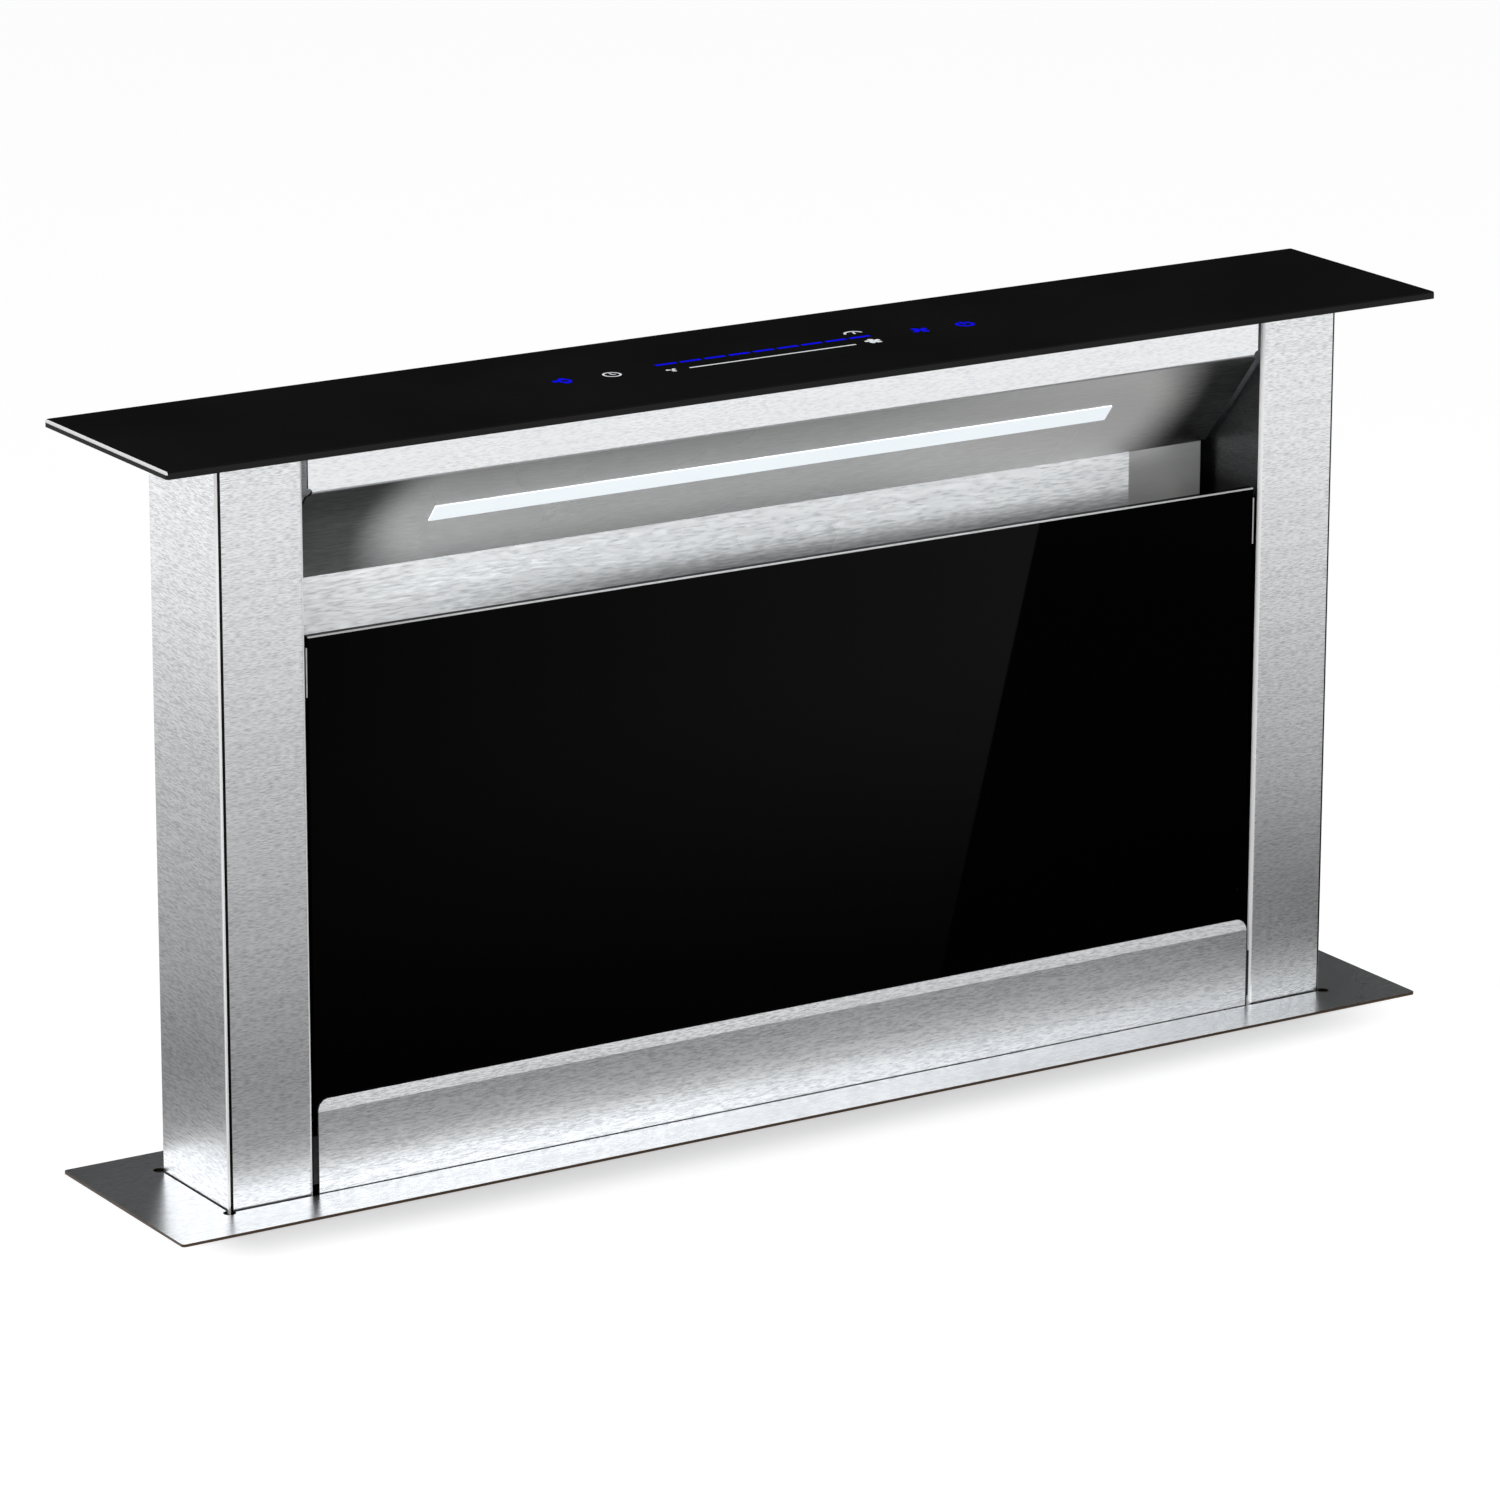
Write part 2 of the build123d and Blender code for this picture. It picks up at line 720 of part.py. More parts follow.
# Upper rail: a shelf from the filters' front to the back panel, with a stop lip behind the filters.
upper_rail_z = filter_top + rail_seat_clearance
with BuildPart() as filter_rail_upper:
    slab((-inner_x, filter_front, upper_rail_z), (inner_x, duct_y, upper_rail_z + rail_sheet))
    lip_y = filter_back + rail_seat_clearance
    slab((-inner_x, lip_y, upper_rail_z - upper_lip), (inner_x, lip_y + rail_sheet, upper_rail_z))
filter_rail_upper.part.label = "filter_rail_upper"
export_step(filter_rail_upper.part, "parts/filter_rail_upper.step")

# Lower rail: a trough that the filters stand in and that catches what drips from them.
trough_y = filter_front - rail_seat_clearance
trough_back = filter_back + rail_seat_clearance
with BuildPart() as filter_rail_lower:
    with BuildSketch(Plane.YZ.offset(-inner_x)):
        with BuildLine():
            Polyline(
                (trough_y - rail_sheet, filter_bottom - rail_sheet),
                (trough_back + rail_sheet, filter_bottom - rail_sheet),
                (trough_back + rail_sheet, filter_bottom + trough_rear),
                (trough_back, filter_bottom + trough_rear),
                (trough_back, filter_bottom),
                (trough_y, filter_bottom),
                (trough_y, filter_bottom + trough_front),
                (trough_y - rail_sheet, filter_bottom + trough_front),
                close=True,
            )
        make_face()
    extrude(amount=2 * inner_x)
filter_rail_lower.part.label = "filter_rail_lower"
export_step(filter_rail_lower.part, "parts/filter_rail_lower.step")

# ---- Guides ---------------------------------------------------------------------------------

shoe_out_x = rail_back_x - shoe_clearance
shoe_half = rail_inside / 2 - shoe_clearance
shoe_foot = tower_foot + shoe_foot_gap
with BuildPart() as slide_shoes:
    for side in (-1, 1):
        for step in range(2):
            foot = shoe_foot + step * shoe_pitch
            low_x, high_x = sorted((side * side_x, side * shoe_out_x))
            slab((low_x, -shoe_half, foot), (high_x, shoe_half, foot + shoe_height))
    chamfer(slide_shoes.edges().filter_by(Axis.Y), shoe_lead)
slide_shoes.part.label = "slide_shoes"
export_step(slide_shoes.part, "parts/slide_shoes.step")

# Each rail is a channel on the casing's side, open towards the tower.
rail_lip_x = side_x + rail_lip_gap
rail_half = rail_inside / 2 + rail_thickness
with BuildPart() as guide_rails:
    with BuildSketch(Plane.XY.offset(rail_bottom)):
        for side in (-1, 1):
            with Locations((side * (rail_lip_x + casing_x) / 2, 0)):
                Rectangle(casing_x - rail_lip_x, 2 * rail_half)
            with Locations((side * (rail_lip_x + rail_back_x) / 2, 0)):
                Rectangle(rail_back_x - rail_lip_x, rail_inside, mode=Mode.SUBTRACT)
    extrude(amount=rail_top - rail_bottom)
guide_rails.part.label = "guide_rails"
export_step(guide_rails.part, "parts/guide_rails.step")

# ---- Belt drive -----------------------------------------------------------------------------

belt_run = idler_z - shaft_z
with BuildPart() as drive_belts:
    for side in (-1, 1):
        start_x = belt_x if side > 0 else -belt_x - belt_width
        with BuildSketch(Plane.YZ.offset(start_x)) as loop:
            with Locations((0, (idler_z + shaft_z) / 2)):
                SlotCenterToCenter(belt_run, 2 * belt_outer, rotation=90)
                SlotCenterToCenter(belt_run, 2 * belt_inner, rotation=90, mode=Mode.SUBTRACT)
        extrude(loop.sketch, amount=belt_width)
drive_belts.part.label = "drive_belts"
export_step(drive_belts.part, "parts/drive_belts.step")

# Clamps on the columns hold the front run of each belt between two jaws.
jaw_front = -belt_outer - belt_clearance
jaw_back = -belt_inner + belt_clearance
clamp_foot = tower_foot + clamp_lift
clamp_out_x = casing_x - clamp_side_gap
clamp_root_x = belt_x - belt_clearance
with BuildPart() as belt_clamps:
    with BuildSketch(Plane.XY.offset(clamp_foot)):
        for side in (-1, 1):
            with Locations((side * (side_x + clamp_out_x) / 2, (jaw_front + jaw_back) / 2)):
                Rectangle(clamp_out_x - side_x, jaw_back - jaw_front + 2 * clamp_wall)
            slot_x = side * (clamp_root_x + clamp_out_x + overrun) / 2
            with Locations((slot_x, (jaw_front + jaw_back) / 2)):
                Rectangle(clamp_out_x + overrun - clamp_root_x, jaw_back - jaw_front, mode=Mode.SUBTRACT)
    extrude(amount=clamp_height)
belt_clamps.part.label = "belt_clamps"
export_step(belt_clamps.part, "parts/belt_clamps.step")


def pulley(centre_x, centre_z, bore, teeth):
    """A belt roller across the width; with teeth it also gets tooth slots and two flanges."""
    body_radius = belt_inner - belt_clearance
    inner = centre_x - belt_width / 2 - belt_clearance
    outer = centre_x + belt_width / 2 + belt_clearance
    rod(body_radius, (inner, 0, centre_z), (outer, 0, centre_z))
    if teeth:
        with BuildSketch(Plane.YZ.offset(inner)) as slots:
            with Locations((0, centre_z)):
                with PolarLocations(body_radius, teeth):
                    Rectangle(2 * tooth_slot_depth, tooth_slot_width)
        extrude(slots.sketch, amount=outer - inner, mode=Mode.SUBTRACT)
        flange_radius = belt_outer + pulley_flange
        rod(flange_radius, (inner - pulley_flange_thickness, 0, centre_z), (inner, 0, centre_z))
        rod(flange_radius, (outer, 0, centre_z), (outer + pulley_flange_thickness, 0, centre_z))
    bore_start = (inner - 2 * pulley_flange_thickness, 0, centre_z)
    bore_end = (outer + 2 * pulley_flange_thickness, 0, centre_z)
    rod(bore, bore_start, bore_end, mode=Mode.SUBTRACT)


pulley_x = belt_x + belt_width / 2
for side_name, side in sides.items():
    with BuildPart() as idler:
        pulley(side * pulley_x, idler_z, idler_pin_radius + running_clearance, 0)
    idler.part.label = "idler_" + side_name
    export_step(idler.part, f"parts/idler_{side_name}.step")

with BuildPart() as idler_pins:
    for side in (-1, 1):
        rod(idler_pin_radius, (side * (side_x + idler_pin_gap), 0, idler_z), (side * casing_x, 0, idler_z))
idler_pins.part.label = "idler_pins"
export_step(idler_pins.part, "parts/idler_pins.step")

shaft_end = casing_x - shaft_end_gap
with BuildPart() as drive_shaft:
    rod(shaft_radius, (-shaft_end, 0, shaft_z), (shaft_end, 0, shaft_z))
drive_shaft.part.label = "drive_shaft"
export_step(drive_shaft.part, "parts/drive_shaft.step")

with BuildPart() as drive_pulleys:
    for side in (-1, 1):
        pulley(side * pulley_x, shaft_z, shaft_radius, pulley_teeth)
drive_pulleys.part.label = "drive_pulleys"
export_step(drive_pulleys.part, "parts/drive_pulleys.step")

# Bearing blocks carry the shaft from the casing floor, beside each pulley.
pulley_inner_x = pulley_x - belt_width / 2 - belt_clearance - pulley_flange_thickness
bearing_x = pulley_inner_x - bearing_gap - bearing_width
with BuildPart() as shaft_bearings:
    for side in (-1, 1):
        start_x = bearing_x if side > 0 else -bearing_x - bearing_width
        with BuildSketch(Plane.YZ.offset(start_x)) as block:
            with Locations((0, (floor_z + shaft_z) / 2)):
                Rectangle(bearing_depth, shaft_height)
            with Locations((0, shaft_z)):
                Circle(bearing_depth / 2)
            with Locations((0, floor_z + bearing_foot_height / 2)):
                Rectangle(bearing_foot_depth, bearing_foot_height)
            with Locations((0, shaft_z)):
                Circle(shaft_radius + running_clearance, mode=Mode.SUBTRACT)
        extrude(block.sketch, amount=bearing_width)
shaft_bearings.part.label = "shaft_bearings"
export_step(shaft_bearings.part, "parts/shaft_bearings.step")

# The gear motor's box straddles the shaft, with the motor standing on top of it.
gearbox_low = shaft_z - (shaft_height - motor_plate)
with BuildPart() as gear_motor:
    slab(
        (gearbox_x - gearbox_width / 2, -gearbox_depth / 2, gearbox_low),
        (gearbox_x + gearbox_width / 2, gearbox_depth / 2, gearbox_low + gearbox_height),
    )
    chamfer(gear_motor.edges().filter_by(Axis.X), gearbox_corner)
    motor_foot = gearbox_low + gearbox_height
    motor_top = motor_foot + motor_length
    rod(motor_radius, (gearbox_x, 0, motor_foot), (gearbox_x, 0, motor_top))
    rod(motor_boss_radius, (gearbox_x, 0, motor_top), (gearbox_x, 0, motor_top + motor_boss_height))
    rod(
        shaft_radius + running_clearance,
        (gearbox_x - gearbox_width, 0, shaft_z),
        (gearbox_x + gearbox_width, 0, shaft_z),
        mode=Mode.SUBTRACT,
    )
gear_motor.part.label = "gear_motor"
export_step(gear_motor.part, "parts/gear_motor.step")

with BuildPart() as motor_bracket:
    slab(
        (gearbox_x - gearbox_width / 2 - motor_plate_ear, -gearbox_depth / 2, floor_z),
        (gearbox_x + gearbox_width / 2 + motor_plate_ear, gearbox_depth / 2, gearbox_low),
    )
motor_bracket.part.label = "motor_bracket"
export_step(motor_bracket.part, "parts/motor_bracket.step")

# ---- Worktop flange, wiper and casing -------------------------------------------------------

cutout_front = fascia_y - flange_clearance
cutout_rear = rear_y + flange_clearance
cutout_x = side_x + flange_clearance
with BuildPart() as worktop_flange:
    with BuildSketch(Plane.XY):
        with Locations((0, plate_y)):
            RectangleRounded(2 * plate_x, plate_rear - plate_front, plate_corner)
        with Locations((0, (cutout_front + cutout_rear) / 2)):
            Rectangle(2 * cutout_x, cutout_rear - cutout_front, mode=Mode.SUBTRACT)
        for corner_y in (cutout_front, cutout_rear):
            with Locations((-cutout_x, corner_y), (cutout_x, corner_y)):
                Circle(corner_relief, mode=Mode.SUBTRACT)
    extrude(amount=flange_thickness)
worktop_flange.part.label = "worktop_flange"
export_step(worktop_flange.part, "parts/worktop_flange.step")

wiper_front = fascia_y - wiper_clearance
wiper_rear = rear_y + wiper_clearance
with BuildPart() as wiper_seal:
    with BuildSketch(Plane.XY.offset(-wiper_height)):
        Rectangle(2 * casing_x, 2 * casing_y)
        with Locations((0, (wiper_front + wiper_rear) / 2)):
            Rectangle(2 * (side_x + wiper_clearance), wiper_rear - wiper_front, mode=Mode.SUBTRACT)
    extrude(amount=wiper_height)
wiper_seal.part.label = "wiper_seal"
export_step(wiper_seal.part, "parts/wiper_seal.step")

with BuildPart() as casing_front:
    slab((-casing_x, -casing_out_y, floor_z), (casing_x, -casing_y, 0))
    hole_start = (fan_x, -casing_out_y - overrun, fan_z)
    hole_end = (fan_x, -casing_y + overrun, fan_z)
    rod(inlet_radius, hole_start, hole_end, mode=Mode.SUBTRACT)
casing_front.part.label = "casing_front"
export_step(casing_front.part, "parts/casing_front.step")

with BuildPart() as casing_rear:
    slab((-casing_x, casing_y, floor_z), (casing_x, casing_out_y, 0))
casing_rear.part.label = "casing_rear"
export_step(casing_rear.part, "parts/casing_rear.step")

for side_name, side in sides.items():
    with BuildPart() as casing_side:
        low_x, high_x = sorted((side * casing_x, side * casing_out_x))
        slab((low_x, -casing_out_y, floor_z), (high_x, casing_out_y, 0))
    casing_side.part.label = "casing_" + side_name
    export_step(casing_side.part, f"parts/casing_{side_name}.step")

# Hexagon screw heads in two rows on each side, near its front and rear edge.
screw_pitch = (casing_height - 2 * screw_edge) / (screw_rows - 1)
with BuildPart() as casing_screws:
    for side in (-1, 1):
        with BuildSketch(Plane.YZ.offset(side * casing_out_x)) as heads:
            with Locations((0, floor_z / 2)):
                with GridLocations(2 * screw_inset, screw_pitch, 2, screw_rows):
                    RegularPolygon(screw_head_radius, 6)
        extrude(heads.sketch, amount=side * screw_head)
casing_screws.part.label = "casing_screws"
export_step(casing_screws.part, "parts/casing_screws.step")

with BuildPart() as casing_floor:
    slab((-casing_out_x, -casing_out_y, floor_z - casing_sheet), (casing_out_x, casing_out_y, floor_z))
casing_floor.part.label = "casing_floor"
export_step(casing_floor.part, "parts/casing_floor.step")

# ---- Blower ---------------------------------------------------------------------------------

box_back = -casing_out_y
with BuildPart() as blower_box:
    slab((box_left, box_front, box_bottom), (box_right, box_back, box_top))
    slab(
        (box_left + box_sheet, box_front - overrun, box_bottom + box_sheet),
        (box_right - box_sheet, box_back - box_sheet, box_top - box_sheet),
        mode=Mode.SUBTRACT,
    )
    hole_start = (fan_x, box_back - box_sheet - overrun, fan_z)
    hole_end = (fan_x, box_back + overrun, fan_z)
    rod(inlet_radius, hole_start, hole_end, mode=Mode.SUBTRACT)
    rod(
        spigot_radius - spigot_wall,
        (box_right - box_sheet - overrun, spigot_y, spigot_z),
        (box_right + overrun, spigot_y, spigot_z),
        mode=Mode.SUBTRACT,
    )
blower_box.part.label = "blower_box"
export_step(blower_box.part, "parts/blower_box.step")

with BuildPart() as blower_cover:
    with BuildSketch(Plane.XZ.offset(-box_front)):
        with Locations(((box_left + box_right) / 2, (box_bottom + box_top) / 2)):
            Rectangle(box_right - box_left, box_top - box_bottom)
    extrude(amount=cover_sheet)
    # Pressed stiffening dish round the motor.
    with BuildSketch(Plane.XZ.offset(-box_front + cover_sheet)):
        with Locations((fan_x, fan_z)):
            Circle(fan_motor_radius + dish_margin)
    extrude(amount=dish_height, taper=dish_taper)
blower_cover.part.label = "blower_cover"
export_step(blower_cover.part, "parts/blower_cover.step")

# The scroll strip: three quarter arcs that each grow by one step, between the outlet's two walls.
arc_one = (fan_x - scroll_step / 2, fan_z - scroll_step / 2)
arc_two = (fan_x - scroll_step / 2, fan_z + scroll_step / 2)
arc_three = (fan_x + scroll_step / 2, fan_z + scroll_step / 2)
nose = (arc_one[0] + scroll_start + tongue_radius, arc_one[1])
outlet_x = box_right - box_sheet
with BuildPart() as fan_scroll:
    with BuildSketch(Plane.XZ.offset(-box_front)):
        with BuildLine():
            Line((outlet_x, nose[1] + tongue_radius), (nose[0], nose[1] + tongue_radius))
            CenterArc(nose, tongue_radius, 90, 90)
            CenterArc(arc_one, scroll_start, 0, -90)
            CenterArc(arc_two, scroll_start + scroll_step, -90, -90)
            last_turn = CenterArc(arc_three, scroll_start + 2 * scroll_step, 180, -90)
            Line(last_turn @ 1, (outlet_x, (last_turn @ 1).Y))
            offset(amount=scroll_sheet, side=Side.RIGHT)
        make_face()
    extrude(amount=-(box_depth - box_sheet))
fan_scroll.part.label = "fan_scroll"
export_step(fan_scroll.part, "parts/fan_scroll.step")

# Bell-mouthed inlet ring, screwed to the box's back wall.
fan_plane = Plane(origin=(fan_x, 0, fan_z), x_dir=(1, 0, 0), z_dir=(0, 0, 1))
fan_axis = Axis((fan_x, 0, fan_z), (0, 1, 0))
ring_y = box_back - box_sheet
bell_y = ring_y - inlet_bell
bell_throat = impeller_radius - blade_ring - bell_gap
ring_edge = inlet_radius + inlet_flange
ring_start = inlet_radius + ring_lap
with BuildPart() as inlet_ring:
    with BuildSketch(fan_plane):
        with BuildLine():
            Polyline(
                (ring_edge, ring_y),
                (ring_start, ring_y),
                (bell_throat + bell_flare, ring_y - bell_knee),
                (bell_throat, bell_y),
                (bell_throat + ring_sheet, bell_y),
                (bell_throat + bell_flare + ring_sheet, ring_y - bell_knee),
                (ring_start + ring_sheet, ring_y - ring_sheet),
                (ring_edge, ring_y - ring_sheet),
                close=True,
            )
        make_face()
    revolve(axis=fan_axis)
inlet_ring.part.label = "inlet_ring"
export_step(inlet_ring.part, "parts/inlet_ring.step")

# Impeller: forward-curved blades between a back disc and a shroud ring, on a central hub.
# The blades' tips lean the way the wheel turns, which is clockwise seen from the front.
blade_root = impeller_radius - blade_ring
impeller_front = impeller_back + impeller_width
blade_turn = degrees(blade_bow / impeller_radius)
blade_start = blade_root + blade_bite
blade_reach = impeller_radius - blade_tip_room - blade_start
blade_points = []
for step in range(blade_flats + 1):
    share = step / blade_flats
    point_radius = blade_start + share * blade_reach
    point_angle = radians(-blade_turn * share**blade_curl)
    blade_points.append((point_radius * cos(point_angle), point_radius * sin(point_angle)))
with BuildPart() as impeller:
    with BuildSketch(Plane.XZ.offset(-impeller_front)):
        with BuildSketch(Plane.XY, mode=Mode.PRIVATE) as blade:
            with BuildLine():
                Polyline(*blade_points)
                offset(amount=blade_sheet, side=Side.LEFT, kind=Kind.INTERSECTION)
            make_face()
        with Locations((fan_x, fan_z)):
            with PolarLocations(0, blade_count):
                add(blade.sketch)
    extrude(amount=impeller_width)
    # Back disc with the hub, and the shroud ring at the inlet end.
    with BuildSketch(Plane.XZ.offset(-impeller_back)):
        with Locations((fan_x, fan_z)):
            Circle(impeller_radius)
    extrude(amount=-impeller_sheet)
    with BuildSketch(Plane.XZ.offset(-impeller_back)):
        with Locations((fan_x, fan_z)):
            Circle(hub_radius)
    extrude(amount=-hub_length)
    with BuildSketch(Plane.XZ.offset(-impeller_front)):
        with Locations((fan_x, fan_z)):
            Circle(impeller_radius)
            Circle(blade_root, mode=Mode.SUBTRACT)
    extrude(amount=impeller_sheet)
    rod(
        fan_shaft_radius,
        (fan_x, impeller_back - overrun, fan_z),
        (fan_x, impeller_back + hub_length + overrun, fan_z),
        mode=Mode.SUBTRACT,
    )
impeller.part.label = "impeller"
export_step(impeller.part, "parts/impeller.step")

fan_motor_back = box_front + fan_motor_length
boss_back = impeller_back - fan_boss_gap
shaft_tail = box_front + fan_shaft_inset
with BuildPart() as fan_shaft:
    rod(fan_shaft_radius, (fan_x, shaft_tail, fan_z), (fan_x, impeller_back + hub_length, fan_z))
fan_shaft.part.label = "fan_shaft"
export_step(fan_shaft.part, "parts/fan_shaft.step")

with BuildPart() as fan_motor:
    rod(fan_motor_radius, (fan_x, box_front, fan_z), (fan_x, fan_motor_back, fan_z))
    chamfer(fan_motor.faces().sort_by(Axis.Y)[-1].edges(), fan_motor_corner)
    rod(fan_motor_boss, (fan_x, fan_motor_back, fan_z), (fan_x, boss_back, fan_z))
    motor_bore = fan_shaft_radius + running_clearance
    bore_start = (fan_x, shaft_tail - fan_bore_room, fan_z)
    bore_end = (fan_x, boss_back + overrun, fan_z)
    rod(motor_bore, bore_start, bore_end, mode=Mode.SUBTRACT)
fan_motor.part.label = "fan_motor"
export_step(fan_motor.part, "parts/fan_motor.step")

# ---- Duct spigot with its two flaps ---------------------------------------------------------

spigot_bore = spigot_radius - spigot_wall
spigot_plate = box_depth - 2 * spigot_plate_margin
spigot_end = box_right + spigot_plate_thickness + spigot_length
with BuildPart() as duct_spigot:
    with BuildSketch(Plane.YZ.offset(box_right)):
        with Locations((spigot_y, spigot_z)):
            Rectangle(spigot_plate, spigot_plate)
            Circle(spigot_bore, mode=Mode.SUBTRACT)
    extrude(amount=spigot_plate_thickness)
    with BuildSketch(Plane.YZ.offset(box_right)):
        with Locations((spigot_y, spigot_z)):
            Circle(spigot_radius)
            Circle(spigot_bore, mode=Mode.SUBTRACT)
    extrude(amount=spigot_plate_thickness + spigot_length)
duct_spigot.part.label = "duct_spigot"
export_step(duct_spigot.part, "parts/duct_spigot.step")

with BuildPart() as flap_pin:
    pin_reach = spigot_bore - flap_pin_room
    rod(flap_pin_radius, (flap_x, spigot_y, spigot_z - pin_reach), (flap_x, spigot_y, spigot_z + pin_reach))
flap_pin.part.label = "flap_pin"
export_step(flap_pin.part, "parts/flap_pin.step")

# Each flap is half a disc, hung on the pin by two sleeves that stand between the other flap's.
sleeve_bore = flap_pin_radius + running_clearance
sleeve_radius = sleeve_bore + flap_sleeve
flap_radius = spigot_bore - flap_edge_gap
flap_start = sleeve_radius + flap_root_gap
sleeve_pitch = flap_sleeve_length + flap_sleeve_gap
sleeve_places = {
    "front": (-1.5 * sleeve_pitch, 0.5 * sleeve_pitch),
    "rear": (-0.5 * sleeve_pitch, 1.5 * sleeve_pitch),
}
for flap_name, places in sleeve_places.items():
    way = -1 if flap_name == "front" else 1
    with BuildPart() as flap:
        with BuildSketch(Plane.YZ.offset(flap_x - flap_thickness / 2)):
            with Locations((spigot_y, spigot_z)):
                Circle(flap_radius)
            with Locations((spigot_y - way * (flap_radius - flap_start), spigot_z)):
                Rectangle(2 * flap_radius, 2 * flap_radius + overrun, mode=Mode.SUBTRACT)
            for place in places:
                with Locations((spigot_y + way * flap_start, spigot_z + place)):
                    Rectangle(2 * (flap_start - sleeve_bore) - flap_sleeve / 2, flap_sleeve_length)
        extrude(amount=flap_thickness)
        for place in places:
            low_z = spigot_z + place - flap_sleeve_length / 2
            high_z = spigot_z + place + flap_sleeve_length / 2
            rod(sleeve_radius, (flap_x, spigot_y, low_z), (flap_x, spigot_y, high_z))
            rod(sleeve_bore, (flap_x, spigot_y, low_z), (flap_x, spigot_y, high_z), mode=Mode.SUBTRACT)
    flap.part.label = "flap_" + flap_name
    export_step(flap.part, f"parts/flap_{flap_name}.step")

# ---- Control box and mains gland ------------------------------------------------------------

control_low = box_top + control_rise
control_x = (box_left + box_right) / 2
control_front = -casing_out_y - control_depth
with BuildPart() as control_box:
    slab(
        (control_x - control_width / 2, control_front, control_low),
        (control_x + control_width / 2, -casing_out_y, control_low + control_height),
    )
    slab(
        (control_x - control_width / 2 + control_sheet, control_front - overrun, control_low + control_sheet),
        (
            control_x + control_width / 2 - control_sheet,
            -casing_out_y - control_sheet,
            control_low + control_height - control_sheet,
        ),
        mode=Mode.SUBTRACT,
    )
    gland_y = -casing_out_y - control_depth / 2
    gland_z = control_low + gland_rise
    gland_x = control_x - control_width / 2
    hole_start = (gland_x - overrun, gland_y, gland_z)
    hole_end = (gland_x + control_sheet + overrun, gland_y, gland_z)
    rod(gland_radius - gland_shoulder, hole_start, hole_end, mode=Mode.SUBTRACT)
control_box.part.label = "control_box"
export_step(control_box.part, "parts/control_box.step")

with BuildPart() as control_box_lid:
    with BuildSketch(Plane.XZ.offset(-control_front)):
        with Locations((control_x, control_low + control_height / 2)):
            Rectangle(control_width, control_height)
    extrude(amount=lid_thickness)
control_box_lid.part.label = "control_box_lid"
export_step(control_box_lid.part, "parts/control_box_lid.step")

# Cable gland: hexagon body, tapered hexagon nut and bore; its threaded end fills the hole in the box.
with BuildPart() as cable_gland:
    with BuildSketch(Plane.YZ.offset(gland_x)):
        with Locations((gland_y, gland_z)):
            RegularPolygon(gland_hex / 2, 6, major_radius=False)
    extrude(amount=-gland_hex_length)
    nut_x = gland_x - gland_hex_length
    gland_end_x = nut_x - gland_nut_length
    thread_x = gland_x + gland_thread_length
    with BuildSketch(Plane.YZ.offset(nut_x)):
        with Locations((gland_y, gland_z)):
            RegularPolygon(gland_radius, 6, major_radius=False)
    extrude(amount=-gland_nut_length)
    chamfer(cable_gland.faces().sort_by(Axis.X)[0].edges(), gland_dome)
    rod(gland_radius - gland_shoulder, (gland_x, gland_y, gland_z), (thread_x, gland_y, gland_z))
    bore_start = (gland_end_x - overrun, gland_y, gland_z)
    bore_end = (thread_x + overrun, gland_y, gland_z)
    rod(gland_bore, bore_start, bore_end, mode=Mode.SUBTRACT)
cable_gland.part.label = "cable_gland"
export_step(cable_gland.part, "parts/cable_gland.step")

# ---- Base rails and feet --------------------------------------------------------------------

base_rail_x = casing_out_x - base_rail_inset
with BuildPart() as base_rails:
    for side in (-1, 1):
        with BuildSketch(Plane.XZ.offset(-base_rail_rear)) as channel:
            with Locations((side * base_rail_x, foot_z + base_rail_height / 2)):
                Rectangle(base_rail_width, base_rail_height)
            with Locations((side * (base_rail_x - base_rail_sheet), foot_z + base_rail_height / 2)):
                Rectangle(base_rail_width, base_rail_height - 2 * base_rail_sheet, mode=Mode.SUBTRACT)
        extrude(channel.sketch, amount=base_rail_rear + base_rail_front)
        for fixing_y in (-fixing_front, fixing_rear):
            rod(
                fixing_hole_radius,
                (side * base_rail_x, fixing_y, foot_z - overrun),
                (side * base_rail_x, fixing_y, foot_z + base_rail_sheet + overrun),
                mode=Mode.SUBTRACT,
            )
base_rails.part.label = "base_rails"
export_step(base_rails.part, "parts/base_rails.step")

with BuildPart() as foot_pads:
    with BuildSketch(Plane.XY.offset(foot_z)):
        for side in (-1, 1):
            with Locations((side * base_rail_x, -foot_front), (side * base_rail_x, foot_rear)):
                Circle(foot_radius)
    extrude(amount=-foot_height)
foot_pads.part.label = "foot_pads"
export_step(foot_pads.part, "parts/foot_pads.step")

print("lift travel", lift_travel, "pulley radius", pulley_radius)
print("door pivot", hinge_y, hinge_z)
print("fan axis", fan_x, fan_z, "impeller from", impeller_back, "to", impeller_front)
print("blower box", box_left, box_right, box_front, box_bottom, box_top)
print("spigot", spigot_y, spigot_z, "plate at", box_right, "end", spigot_end)
print("flap pin", flap_x, spigot_y)
print("shaft", shaft_z, "idler", idler_z)
print("gland", gland_x, gland_y, gland_z)
print("feet", foot_z - foot_height, base_rail_x)
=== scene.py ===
import math

import bmesh
import bpy
from mathutils import Matrix, Vector


